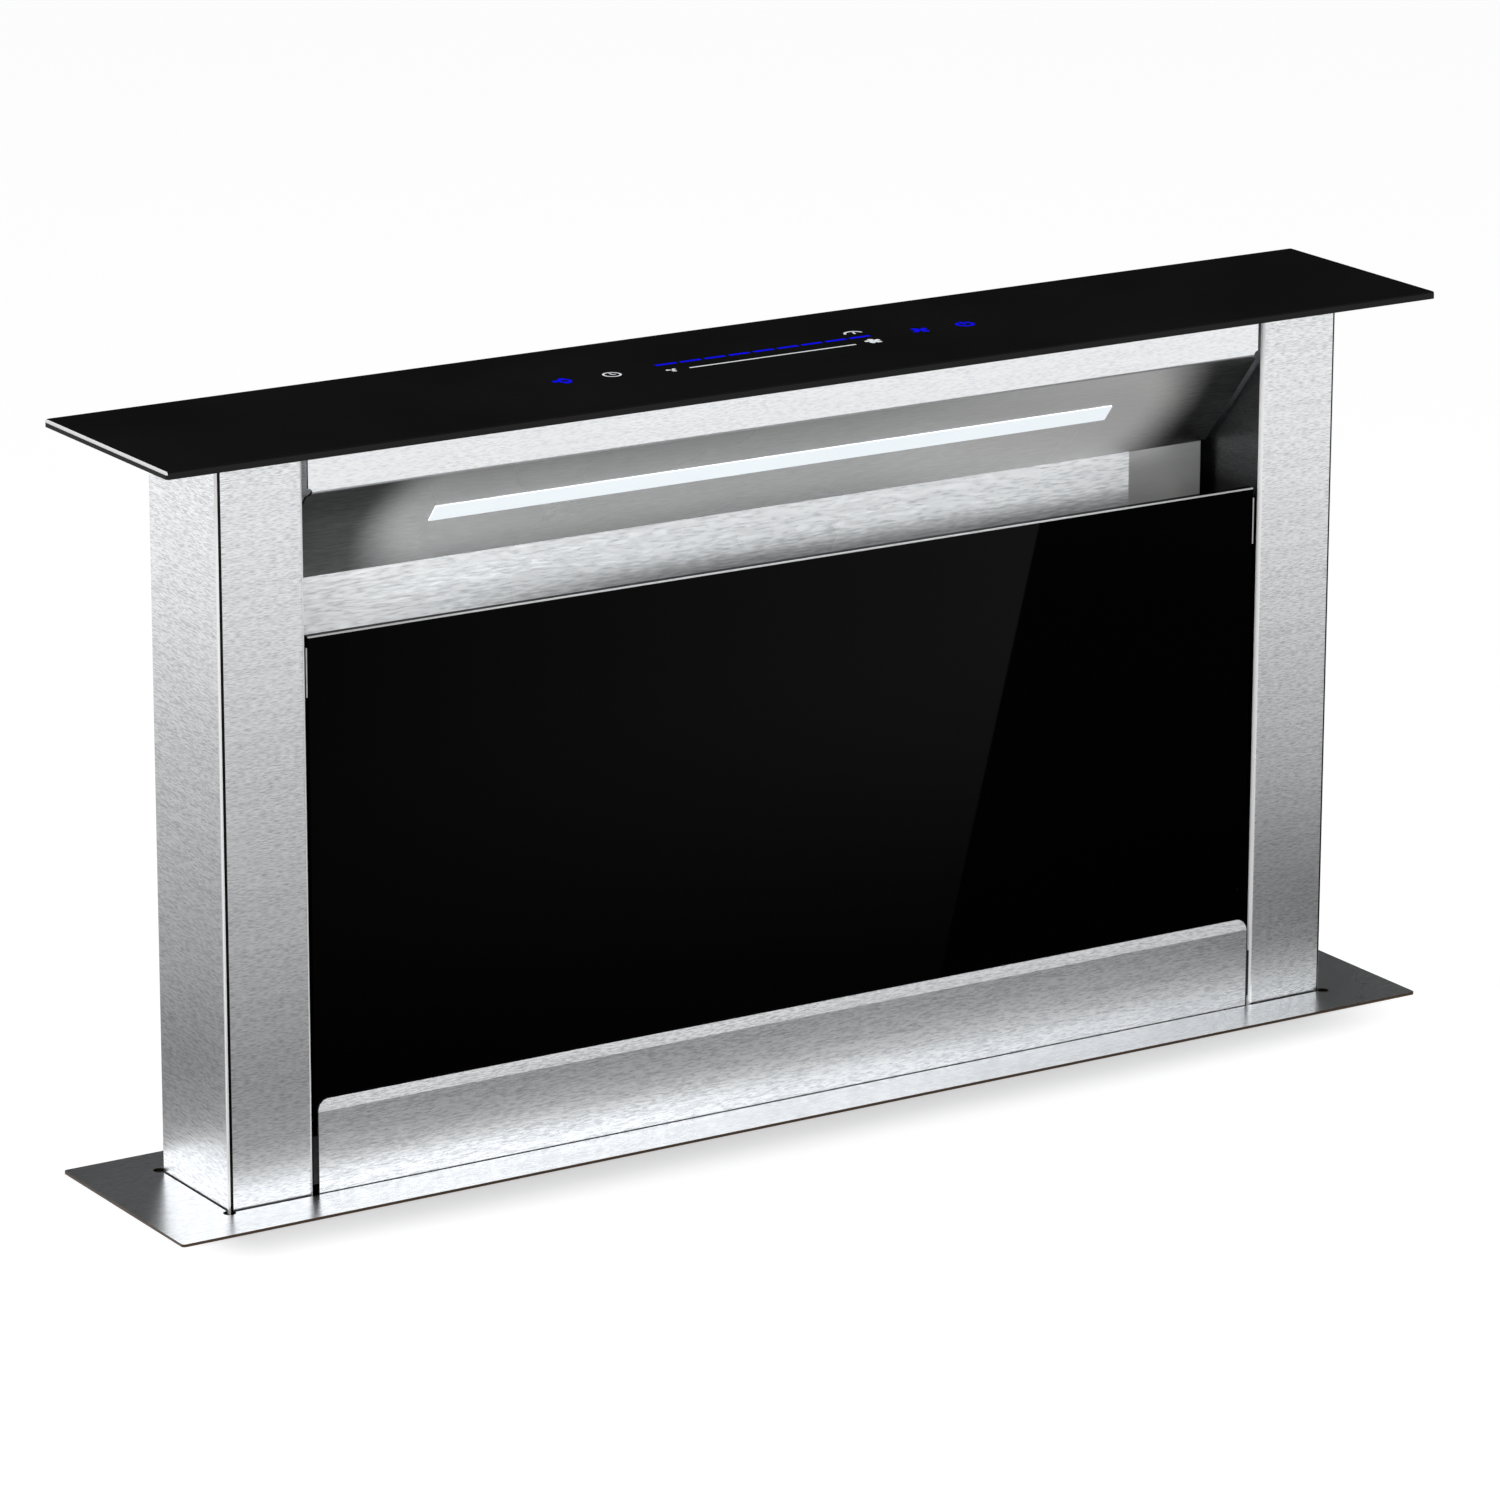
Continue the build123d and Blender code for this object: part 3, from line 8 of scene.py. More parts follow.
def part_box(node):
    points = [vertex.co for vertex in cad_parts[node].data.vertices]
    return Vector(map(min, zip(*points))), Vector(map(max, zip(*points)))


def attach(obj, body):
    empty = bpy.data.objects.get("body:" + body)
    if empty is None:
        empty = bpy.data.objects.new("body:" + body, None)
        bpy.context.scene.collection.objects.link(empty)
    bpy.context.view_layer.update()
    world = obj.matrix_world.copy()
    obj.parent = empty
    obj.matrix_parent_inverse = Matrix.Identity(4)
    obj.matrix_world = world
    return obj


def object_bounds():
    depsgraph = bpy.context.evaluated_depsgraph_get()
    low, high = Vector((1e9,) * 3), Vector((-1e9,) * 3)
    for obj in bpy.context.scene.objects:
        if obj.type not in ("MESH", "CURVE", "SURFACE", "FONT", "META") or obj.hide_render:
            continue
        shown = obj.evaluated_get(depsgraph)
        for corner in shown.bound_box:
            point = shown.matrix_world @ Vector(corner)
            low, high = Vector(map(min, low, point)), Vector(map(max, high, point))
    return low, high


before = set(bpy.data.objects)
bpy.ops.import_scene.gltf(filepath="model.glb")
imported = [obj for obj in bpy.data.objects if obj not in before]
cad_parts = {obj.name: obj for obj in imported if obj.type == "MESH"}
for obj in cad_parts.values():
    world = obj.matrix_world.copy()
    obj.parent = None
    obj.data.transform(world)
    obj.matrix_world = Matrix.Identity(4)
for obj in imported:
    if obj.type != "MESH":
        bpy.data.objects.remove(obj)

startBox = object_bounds()
print("frame loaded:", len(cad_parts), "nodes")

bpy.context.scene.view_settings.view_transform = "Standard"


# lengths are metres in the part's own frame: x to the right, y to the back, z up from the worktop;
# a span is (from, to) or (from, to, value at from, value at to), and may run downwards

def addNode(tree, kind, **settings):
    node = tree.nodes.new(kind)
    for key, value in settings.items():
        setattr(node, key, value)
    return node


def feed(tree, socket, value):
    if isinstance(value, bpy.types.NodeSocket):
        tree.links.new(value, socket)
    else:
        socket.default_value = value


def calc(tree, operation, first, second=0.0):
    node = addNode(tree, "ShaderNodeMath", operation=operation)
    feed(tree, node.inputs[0], first)
    feed(tree, node.inputs[1], second)
    return node.outputs[0]


def times(tree, first, *others):
    for other in others:
        first = calc(tree, "MULTIPLY", first, other)
    return first


def plus(tree, first, second):
    return calc(tree, "ADD", first, second)


def minus(tree, first, second):
    return calc(tree, "SUBTRACT", first, second)


def magnitude(tree, value):
    return calc(tree, "ABSOLUTE", value)


def largest(tree, first, second):
    return calc(tree, "MAXIMUM", first, second)


def above(tree, value, limit):
    return calc(tree, "GREATER_THAN", value, limit)


def below(tree, value, limit):
    return calc(tree, "LESS_THAN", value, limit)


# how far a place lies outside plus and minus the limit, and 0 within it
def outside(tree, value, limit):
    return largest(tree, minus(tree, magnitude(tree, value), limit), 0.0)


def diagonal(tree, first, second):
    squares = [calc(tree, "POWER", side, 2.0) for side in (first, second)]
    return calc(tree, "SQRT", plus(tree, *squares))


def remap(tree, value, low, high, toLow=0.0, toHigh=1.0, smooth=False):
    node = addNode(tree, "ShaderNodeMapRange", interpolation_type="SMOOTHSTEP" if smooth else "LINEAR")
    for socket, item in zip(node.inputs, (value, low, high, toLow, toHigh)):
        feed(tree, socket, item)
    return node.outputs[0]


def between(tree, mask, low, high):
    return remap(tree, mask, 0.0, 1.0, low, high)


def blendColour(tree, mask, first, second):
    node = addNode(tree, "ShaderNodeMix", data_type="RGBA")
    feed(tree, node.inputs["Factor"], mask)
    feed(tree, node.inputs[6], first)
    feed(tree, node.inputs[7], second)
    return node.outputs[2]


def grey(level, tint=(1.0, 1.0, 1.0)):
    return (level * tint[0], level * tint[1], level * tint[2], 1.0)


# a grey that the mask swings by a share each way round its level
def swung(tree, mask, level, share, tint=(1.0, 1.0, 1.0)):
    return blendColour(tree, mask, grey(level * (1.0 - share), tint), grey(level * (1.0 + share), tint))


def coordsOf(tree, kind="Object"):
    return addNode(tree, "ShaderNodeTexCoord").outputs[kind]


def splitAxes(tree, kind="Object"):
    split = addNode(tree, "ShaderNodeSeparateXYZ")
    tree.links.new(coordsOf(tree, kind), split.inputs[0])
    return split.outputs


def noise(tree, vector, scale, detail, roughness=0.5):
    node = addNode(tree, "ShaderNodeTexNoise", noise_dimensions="3D")
    inputs = {"Vector": vector, "Scale": scale, "Detail": detail, "Roughness": roughness}
    for label, value in inputs.items():
        feed(tree, node.inputs[label], value)
    return node.outputs[0]


def cells(tree, scale):
    node = addNode(tree, "ShaderNodeTexVoronoi", feature="F1")
    tree.links.new(coordsOf(tree), node.inputs["Vector"])
    feed(tree, node.inputs["Scale"], scale)
    return node.outputs


def startGroup(name, inputs, outputs):
    tree = bpy.data.node_groups.new(name, "ShaderNodeTree")
    for label, value in inputs.items():
        socket = tree.interface.new_socket(label, in_out="INPUT", socket_type="NodeSocketFloat")
        socket.default_value = value
    for label in outputs:
        tree.interface.new_socket(label, in_out="OUTPUT", socket_type="NodeSocketFloat")
    return tree, addNode(tree, "NodeGroupInput").outputs, addNode(tree, "NodeGroupOutput").inputs


# grain of brushed sheet: along x on fronts and flats, along the depth on sides
grainLook = {
    "sideNormal": 0.6, "detail": 1.0, "fineRoughness": 0.6, "fineSpan": (0.22, 0.78),
    "streakLength": 14.0, "streakFineness": 420.0, "streakSpan": (0.2, 0.8),
}


def makeBrushGrain():
    tree, given, out = startGroup(
        "brushGrain", {"Length": 220.0, "Fineness": 1150.0}, ("Tone", "Streak", "Height"))
    place = splitAxes(tree)
    normal = splitAxes(tree, "Normal")
    onSide = above(tree, magnitude(tree, normal[0]), grainLook["sideNormal"])
    onFront = minus(tree, 1.0, onSide)
    along = plus(tree, times(tree, place[0], onFront), times(tree, place[1], onSide))
    across = plus(tree, times(tree, place[1], onFront), times(tree, place[0], onSide))

    def stretched(length, fineness):
        joined = addNode(tree, "ShaderNodeCombineXYZ")
        scales = (length, fineness, fineness)
        for socket, axis, scale in zip(joined.inputs, (along, across, place[2]), scales):
            feed(tree, socket, times(tree, axis, scale))
        return joined.outputs[0]

    fine = stretched(given["Length"], given["Fineness"])
    fineNoise = noise(tree, fine, 1.0, grainLook["detail"], grainLook["fineRoughness"])
    streak = stretched(grainLook["streakLength"], grainLook["streakFineness"])
    streakNoise = noise(tree, streak, 1.0, grainLook["detail"])
    feed(tree, out["Tone"], remap(tree, fineNoise, *grainLook["fineSpan"]))
    feed(tree, out["Streak"], remap(tree, streakNoise, *grainLook["streakSpan"]))
    feed(tree, out["Height"], fineNoise)
    return tree


# broad cloudy unevenness: handling, rolling, drying
cloudLook = {"detail": 4.0, "span": (0.3, 0.7)}


def makeCloud():
    tree, given, out = startGroup("cloud", {"Scale": 12.0}, ("Mask",))
    puffs = noise(tree, coordsOf(tree), given["Scale"], cloudLook["detail"])
    feed(tree, out["Mask"], remap(tree, puffs, *cloudLook["span"], smooth=True))
    return tree


# zinc crystals of galvanised sheet: a tone per crystal, and a height that rises to its edge
def makeSpangle():
    tree, given, out = startGroup("spangle", {"Scale": 110.0}, ("Tone", "Edge"))
    crystals = cells(tree, given["Scale"])
    pick = addNode(tree, "ShaderNodeSeparateColor")
    tree.links.new(crystals["Color"], pick.inputs[0])
    feed(tree, out["Tone"], pick.outputs[0])
    feed(tree, out["Edge"], crystals["Distance"])
    return tree


# fine skin of moulded plastic, rubber and enamel
def makeSkin():
    tree, given, out = startGroup("skin", {"Scale": 1800.0}, ("Height",))
    feed(tree, out["Height"], noise(tree, coordsOf(tree), given["Scale"], detail=2.0))
    return tree


# a few dust specks, seen on gloss black
def makeSpecks():
    tree, given, out = startGroup("specks", {"Scale": 45.0, "Size": 0.012}, ("Mask",))
    feed(tree, out["Mask"], below(tree, cells(tree, given["Scale"])["Distance"], given["Size"]))
    return tree


effects = {
    "grain": makeBrushGrain(),
    "cloud": makeCloud(),
    "spangle": makeSpangle(),
    "skin": makeSkin(),
    "specks": makeSpecks(),
}


def useEffect(tree, name, **values):
    node = addNode(tree, "ShaderNodeGroup", node_tree=effects[name])
    for label, value in values.items():
        feed(tree, node.inputs[label], value)
    return node.outputs


def startMaterial(name):
    material = bpy.data.materials.new(name)
    material.use_nodes = True
    tree = material.node_tree
    return material, tree, tree.nodes["Principled BSDF"]


def addBump(tree, shader, height, distance):
    bump = addNode(tree, "ShaderNodeBump")
    bump.inputs["Strength"].default_value = 1.0
    bump.inputs["Distance"].default_value = distance
    feed(tree, bump.inputs["Height"], height)
    tree.links.new(bump.outputs[0], shader.inputs["Normal"])


# brushed stainless sheet, as the tower and the flange are made of
steelLook = {
    "level": 0.89, "tint": (0.958, 0.978, 1.0),
    "grainDepth": 0.42, "grainLength": 320.0, "grainFineness": 2250.0, "streakShare": 0.18,
    "cloud": 9.0, "roughness": 0.26, "uneven": 0.03, "bump": 0.000007,
}


def brushed(name, look):
    material, tree, shader = startMaterial(name)
    grain = useEffect(tree, "grain", Length=look["grainLength"], Fineness=look["grainFineness"])
    cloud = useEffect(tree, "cloud", Scale=look["cloud"])
    fine = times(tree, grain["Tone"], 1.0 - look["streakShare"])
    tone = plus(tree, fine, times(tree, grain["Streak"], look["streakShare"]))
    colour = swung(tree, tone, look["level"], look["grainDepth"], look["tint"])
    shader.inputs["Metallic"].default_value = 1.0
    rough = plus(tree, look["roughness"], times(tree, cloud["Mask"], look["uneven"]))
    feed(tree, shader.inputs["Roughness"], rough)
    addBump(tree, shader, grain["Height"], look["bump"])
    return material, tree, shader, colour


def steelMaterial():
    material, tree, shader, colour = brushed("brushedSteel", steelLook)
    feed(tree, shader.inputs["Base Color"], colour)
    return material


# cut edges of the plate are darker than its faces, with a trace of heat colour
plateLook = dict(
    steelLook, level=0.88, grainDepth=0.28, edge=(0.075, 0.05, 0.035, 1.0), edgeNormal=0.5)


def plateMaterial():
    look = plateLook
    material, tree, shader, colour = brushed("plateSteel", look)
    onEdge = below(tree, magnitude(tree, splitAxes(tree, "Normal")[2]), look["edgeNormal"])
    feed(tree, shader.inputs["Base Color"], blendColour(tree, onEdge, colour, look["edge"]))
    return material


# painted shade: the walls that face the air channel are painted near black for the dark inside they
# see, a little less above the door, and the front bends are burnished, with a painted highlight on one
# half and a painted dark reflection on the other
columnLook = dict(
    steelLook, wallDepth=0.0002, paintedInnerShade=0.02, innerShade=(0.226, 0.234, 0.95, 0.8),
    bend=0.0018, innerBend=0.0013, bendStart=0.00005, halfway=1.25,
    paintedBendHighlight=0.98, paintedBendDark=0.012, polish=0.6, highlightMetallic=0.35)


def columnMaterial():
    look = columnLook
    low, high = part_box("right_column")
    material, tree, shader, colour = brushed("columnSteel", look)
    place = splitAxes(tree)
    width = magnitude(tree, place[0])
    onWall = below(tree, width, low.x + look["wallDepth"])
    # painted shade: the inner walls take a near-black colour, a little less above the door
    inside = times(tree, onWall, remap(tree, place[2], *look["innerShade"]))
    colour = blendColour(tree, inside, colour, grey(look["paintedInnerShade"]))
    outX = minus(tree, width, high.x - look["bend"])
    outY = minus(tree, times(tree, place[1], -1.0), high.y - look["bend"])
    beyondY = above(tree, outY, look["bendStart"])
    onBend = times(tree, above(tree, outX, look["bendStart"]), beyondY)
    turned = above(tree, outY, times(tree, outX, look["halfway"]))
    inner = times(tree, below(tree, width, low.x + look["innerBend"]), beyondY)
    # painted highlight on one half of each bend, painted dark reflection on the other
    light = largest(tree, times(tree, onBend, minus(tree, 1.0, turned)), inner)
    dark = times(tree, onBend, turned)
    colour = blendColour(tree, light, colour, grey(look["paintedBendHighlight"]))
    colour = blendColour(tree, dark, colour, grey(look["paintedBendDark"]))
    feed(tree, shader.inputs["Base Color"], colour)
    rough = shader.inputs["Roughness"].links[0].from_socket
    polished = minus(tree, 1.0, times(tree, onBend, look["polish"]))
    feed(tree, shader.inputs["Roughness"], times(tree, rough, polished))
    feed(tree, shader.inputs["Metallic"], between(tree, light, 1.0, look["highlightMetallic"]))
    return material


# the sheet behind the opening: a band above the door is bright with painted lamp light, an emission
# glow, a little more at the left, with painted shade at its foot for the door's top edge, least at the
# left, and a painted darker end with less glow ends it
backLook = dict(
    steelLook, level=0.9, grainDepth=0.38, grainLength=150.0, grainFineness=1150.0,
    faceDepth=0.0005, bandSpan=(0.19, 0.215), shine=0.22, leftShine=(-0.02, -0.21, 0.0, 0.12),
    shadeTop=(0.232, 0.219), shadeFoot=(0.2, 0.212), shadeLeft=(-0.2, -0.03),
    shade=0.75, shadeLevel=0.03,
    endX=0.1865, endFade=0.0006, endLevel=0.5, endShine=0.15, metallic=0.1, endMetallic=0.4)


def backMaterial():
    look = backLook
    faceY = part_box("back_panel")[0].y
    material, tree, shader, colour = brushed("backSteel", look)
    place = splitAxes(tree)
    onFace = below(tree, place[1], faceY + look["faceDepth"])
    # painted shade at the band's foot
    shade = times(
        tree, remap(tree, place[2], *look["shadeTop"], smooth=True),
        remap(tree, place[2], *look["shadeFoot"], smooth=True),
        remap(tree, place[0], *look["shadeLeft"], smooth=True), onFace, look["shade"])
    colour = blendColour(tree, shade, colour, grey(look["shadeLevel"]))
    # painted darker end of the band, with more metal and less glow
    beyond = remap(tree, place[0], look["endX"], look["endX"] + look["endFade"])
    paintedEnd = blendColour(tree, beyond, colour, grey(look["endLevel"]))
    feed(tree, shader.inputs["Base Color"], paintedEnd)
    feed(tree, shader.inputs["Metallic"], between(tree, beyond, look["metallic"], look["endMetallic"]))
    # painted lamp light: the band glows by emission in its own colour
    onBand = times(tree, onFace, remap(tree, place[2], *look["bandSpan"], smooth=True))
    level = plus(tree, look["shine"], remap(tree, place[0], *look["leftShine"], smooth=True))
    lit = times(tree, onBand, level, between(tree, beyond, 1.0, look["endShine"]))
    feed(tree, shader.inputs["Emission Color"], blendColour(tree, lit, grey(0.0), colour))
    shader.inputs["Emission Strength"].default_value = 1.0
    return material


# lamp panel: the slope is painted a dark grey for shade, with a painted glow of the strip's light
# spread round it in colour and emission, brighter at the right;
# its back and ends are painted near black for the shade of the dark inside they face
hoodLook = dict(
    steelLook, level=0.97, grainDepth=0.2, slopeTop=(0.2872, 0.2862),
    lampHalf=0.162, lampZ=0.267, spread=(0.037, 0.011), spreadRight=(0.05, 0.16, 1.0, 0.72),
    slopeLength=150.0, slopeFineness=1500.0, slopeDepth=0.38, slopeSpan=(-0.1, 0.17),
    slopeLeft=0.1, slopeRight=0.21, glowLevel=0.42, glowDepth=0.14,
    glowShine=(0.03, 0.17, 0.14, 0.29), hiddenNormal=(0.2, 0.4), paintedInsideShade=0.02)


def hoodMaterial():
    look = hoodLook
    material, tree, shader, colour = brushed("hoodSteel", look)
    place = splitAxes(tree)
    onSlope = remap(tree, place[2], *look["slopeTop"], smooth=True)
    beside = outside(tree, place[0], look["lampHalf"])
    away = magnitude(tree, minus(tree, place[2], look["lampZ"]))
    spread = times(tree, diagonal(tree, beside, away), remap(tree, place[0], *look["spreadRight"]))
    glow = remap(tree, spread, *look["spread"], smooth=True)
    grain = useEffect(tree, "grain", Length=look["slopeLength"], Fineness=look["slopeFineness"])
    # painted shade: the slope's colour is a dark grey, lighter towards the right
    left = swung(tree, grain["Tone"], look["slopeLeft"], look["slopeDepth"])
    right = swung(tree, grain["Tone"], look["slopeRight"], look["slopeDepth"])
    dim = blendColour(tree, remap(tree, place[0], *look["slopeSpan"]), left, right)
    # painted light: a brighter colour round the lamp strip
    bright = swung(tree, grain["Tone"], look["glowLevel"], look["glowDepth"])
    slope = blendColour(tree, glow, dim, bright)
    colour = blendColour(tree, onSlope, colour, slope)
    normal = splitAxes(tree, "Normal")
    # painted shade: back and end faces near black
    paintedInsideShade = remap(tree, largest(tree, normal[1], magnitude(tree, normal[0])), *look["hiddenNormal"])
    feed(tree, shader.inputs["Base Color"], blendColour(tree, paintedInsideShade, colour, grey(look["paintedInsideShade"])))
    # painted lamp light: emission round the strip, stronger at the right
    shine = times(tree, glow, onSlope, remap(tree, place[0], *look["glowShine"], smooth=True))
    feed(tree, shader.inputs["Emission Color"], blendColour(tree, shine, grey(0.0), grey(1.0)))
    shader.inputs["Emission Strength"].default_value = 1.0
    return material


# the cover's glass; the upper arris of its ends is ground, and a painted highlight makes it catch the
# light
coverLook = {
    "level": 0.0022, "darker": 0.9, "lighter": 1.15, "cloud": 14.0,
    "speckScale": 60.0, "speckSize": 0.01, "speckShare": 0.05, "speckLevel": 0.4,
    "edge": 0.016, "edgeNormal": 0.3, "groundArrisHighlight": 0.85, "groundEnd": 0.0006, "groundTop": 0.0012,
    "smoothest": 0.32, "roughest": 0.39, "specular": 0.05,
}


def coverMaterial():
    look = coverLook
    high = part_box("top_glass")[1]
    material, tree, shader = startMaterial("coverGlass")
    cloud = useEffect(tree, "cloud", Scale=look["cloud"])
    specks = useEffect(tree, "specks", Scale=look["speckScale"], Size=look["speckSize"])
    dark, light = grey(look["level"] * look["darker"]), grey(look["level"] * look["lighter"])
    colour = blendColour(tree, cloud["Mask"], dark, light)
    dust = times(tree, specks["Mask"], look["speckShare"])
    colour = blendColour(tree, dust, colour, grey(look["speckLevel"]))
    onEdge = below(tree, magnitude(tree, splitAxes(tree, "Normal")[2]), look["edgeNormal"])
    colour = blendColour(tree, onEdge, colour, grey(look["edge"]))
    place = splitAxes(tree)
    # painted highlight on the ground upper arris of the ends
    atEnd = above(tree, magnitude(tree, place[0]), high.x - look["groundEnd"])
    groundArrisHighlight = times(tree, atEnd, above(tree, place[2], high.z - look["groundTop"]))
    colour = blendColour(tree, groundArrisHighlight, colour, grey(look["groundArrisHighlight"]))
    feed(tree, shader.inputs["Base Color"], colour)
    rough = between(tree, cloud["Mask"], look["smoothest"], look["roughest"])
    feed(tree, shader.inputs["Roughness"], rough)
    shader.inputs["Specular IOR Level"].default_value = look["specular"]
    return material


# gloss black door, with a painted reflection of the pale window light that slants across its left part,
# and a ground top edge with a painted highlight where it catches the lamp
doorLook = {
    "level": 0.0002, "paintedReflection": 0.0068, "slant": 0.252, "sheenEdge": (0.0604, 0.0590),
    "sheenSpan": (-0.28, 0.055, 0.24, 1.0), "sheenRise": (0.03, 0.19, 0.12, 1.0),
    "cloud": 8.0, "speckScale": 38.0, "speckSize": 0.009, "speckShare": 0.04, "speckLevel": 0.5,
    "rimHighlight": 0.5, "rimHeight": 0.00045, "rimDepth": 0.0011,
    "smoothest": 0.03, "roughest": 0.05, "specular": 0.012,
}


def doorMaterial():
    look = doorLook
    low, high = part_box("front_glass")
    material, tree, shader = startMaterial("doorGlass")
    specks = useEffect(tree, "specks", Scale=look["speckScale"], Size=look["speckSize"])
    cloud = useEffect(tree, "cloud", Scale=look["cloud"])
    place = splitAxes(tree)
    # painted reflection: a pale slanting patch over the left part
    slanted = minus(tree, place[0], times(tree, place[2], look["slant"]))
    paintedReflection = times(
        tree, remap(tree, slanted, *look["sheenEdge"], smooth=True),
        remap(tree, slanted, *look["sheenSpan"]),
        remap(tree, place[2], *look["sheenRise"], smooth=True))
    colour = blendColour(tree, paintedReflection, grey(look["level"]), grey(look["paintedReflection"]))
    dust = times(tree, specks["Mask"], look["speckShare"])
    colour = blendColour(tree, dust, colour, grey(look["speckLevel"]))
    # painted highlight along the ground top edge
    onTop = above(tree, place[2], high.z - look["rimHeight"])
    rimHighlight = times(tree, onTop, below(tree, place[1], low.y + look["rimDepth"]))
    feed(tree, shader.inputs["Base Color"], blendColour(tree, rimHighlight, colour, grey(look["rimHighlight"])))
    rough = between(tree, cloud["Mask"], look["smoothest"], look["roughest"])
    feed(tree, shader.inputs["Roughness"], rough)
    shader.inputs["Specular IOR Level"].default_value = look["specular"]
    return material


# the lamp's lens looks pale to the camera and casts more than that on what is round it
lampLook = {
    "colour": (0.84, 0.9, 0.94), "darker": 0.97, "seen": 1.0, "cast": 8.0,
    "cloud": 30.0, "skin": 900.0, "base": 0.02, "roughness": 0.5, "bump": 0.00002,
}


def lampMaterial():
    look = lampLook
    material, tree, shader = startMaterial("lampLens")
    cloud = useEffect(tree, "cloud", Scale=look["cloud"])
    skin = useEffect(tree, "skin", Scale=look["skin"])
    dark, light = grey(look["darker"], look["colour"]), grey(1.0, look["colour"])
    feed(tree, shader.inputs["Emission Color"], blendColour(tree, cloud["Mask"], dark, light))
    rays = addNode(tree, "ShaderNodeLightPath")
    strength = between(tree, rays.outputs["Is Camera Ray"], look["cast"], look["seen"])
    feed(tree, shader.inputs["Emission Strength"], strength)
    shader.inputs["Base Color"].default_value = grey(look["base"])
    shader.inputs["Roughness"].default_value = look["roughness"]
    addBump(tree, shader, skin["Height"], look["bump"])
    return material


# sheets with a crystal skin: galvanised, zinc plated, zinc painted near black as shade for the parts in
# dark gaps, and anodised
sheetLooks = {
    "galvanised": {
        "level": 0.53, "tint": (0.95, 0.978, 1.0), "crystal": 300.0, "contrast": 0.13,
        "smoothest": 0.25, "roughest": 0.34, "bump": 0.00001,
    },
    "zincPlate": {
        "level": 0.55, "tint": (1.0, 0.99, 0.96), "crystal": 420.0, "contrast": 0.12,
        "smoothest": 0.29, "roughest": 0.38, "bump": 0.00002,
    },
    "zincPaintedShade": {
        "level": 0.035, "tint": (1.0, 1.0, 1.04), "crystal": 420.0, "contrast": 0.15,
        "smoothest": 0.36, "roughest": 0.45, "bump": 0.00002,
    },
    "aluminium": {
        "level": 0.72, "tint": (0.99, 0.995, 1.0), "crystal": 700.0, "contrast": 0.1,
        "smoothest": 0.34, "roughest": 0.43, "bump": 0.00002,
    },
}
sheetCloud = {"scale": 11.0, "share": 0.12}


def sheetMaterial(name):
    look = sheetLooks[name]
    material, tree, shader = startMaterial(name)
    spangle = useEffect(tree, "spangle", Scale=look["crystal"])
    cloud = useEffect(tree, "cloud", Scale=sheetCloud["scale"])
    crystals = times(tree, spangle["Tone"], 1.0 - sheetCloud["share"])
    tone = plus(tree, crystals, times(tree, cloud["Mask"], sheetCloud["share"]))
    colour = swung(tree, tone, look["level"], look["contrast"], look["tint"])
    feed(tree, shader.inputs["Base Color"], colour)
    rough = between(tree, spangle["Tone"], look["smoothest"], look["roughest"])
    feed(tree, shader.inputs["Roughness"], rough)
    shader.inputs["Metallic"].default_value = 1.0
    addBump(tree, shader, spangle["Edge"], look["bump"])
    return material


# woven look of the filters' mesh over the folds
meshLook = {
    "weave": 2600.0, "dark": 0.3, "light": 0.68, "cloud": 18.0,
    "smoothest": 0.34, "roughest": 0.46, "bump": 0.0002,
}


def meshMaterial():
    look = meshLook
    material, tree, shader = startMaterial("filterMesh")
    place = splitAxes(tree)
    cloud = useEffect(tree, "cloud", Scale=look["cloud"])
    warp = calc(tree, "SINE", times(tree, plus(tree, place[0], place[2]), look["weave"]))
    weft = calc(tree, "SINE", times(tree, minus(tree, place[0], place[2]), look["weave"]))
    weave = remap(tree, times(tree, warp, weft), -1.0, 1.0)
    colour = blendColour(tree, weave, grey(look["dark"]), grey(look["light"]))
    feed(tree, shader.inputs["Base Color"], colour)
    rough = between(tree, cloud["Mask"], look["smoothest"], look["roughest"])
    feed(tree, shader.inputs["Roughness"], rough)
    shader.inputs["Metallic"].default_value = 1.0
    addBump(tree, shader, weave, look["bump"])
    return material


mouldedLooks = {
    "blackPlastic": {
        "colour": (0.022, 0.022, 0.024), "skin": 1500.0, "specular": 0.45,
        "smoothest": 0.41, "roughest": 0.5, "bump": 0.00006,
    },
    "nylon": {
        "colour": (0.72, 0.7, 0.64), "skin": 900.0, "specular": 0.5,
        "smoothest": 0.38, "roughest": 0.47, "bump": 0.00003,
    },
    "rubber": {
        "colour": (0.014, 0.014, 0.014), "skin": 2400.0, "specular": 0.3,
        "smoothest": 0.66, "roughest": 0.75, "bump": 0.00008,
    },
    "motorEnamel": {
        "colour": (0.05, 0.052, 0.056), "skin": 500.0, "specular": 0.5,
        "smoothest": 0.32, "roughest": 0.41, "bump": 0.00009,
    },
}
mouldedCloud = {"scale": 16.0, "darker": 0.88, "lighter": 1.1}


def mouldedMaterial(name):
    look = mouldedLooks[name]
    material, tree, shader = startMaterial(name)
    skin = useEffect(tree, "skin", Scale=look["skin"])
    cloud = useEffect(tree, "cloud", Scale=mouldedCloud["scale"])
    dark, light = (grey(mouldedCloud[side], look["colour"]) for side in ("darker", "lighter"))
    feed(tree, shader.inputs["Base Color"], blendColour(tree, cloud["Mask"], dark, light))
    rough = between(tree, cloud["Mask"], look["smoothest"], look["roughest"])
    feed(tree, shader.inputs["Roughness"], rough)
    shader.inputs["Specular IOR Level"].default_value = look["specular"]
    addBump(tree, shader, skin["Height"], look["bump"])
    return material


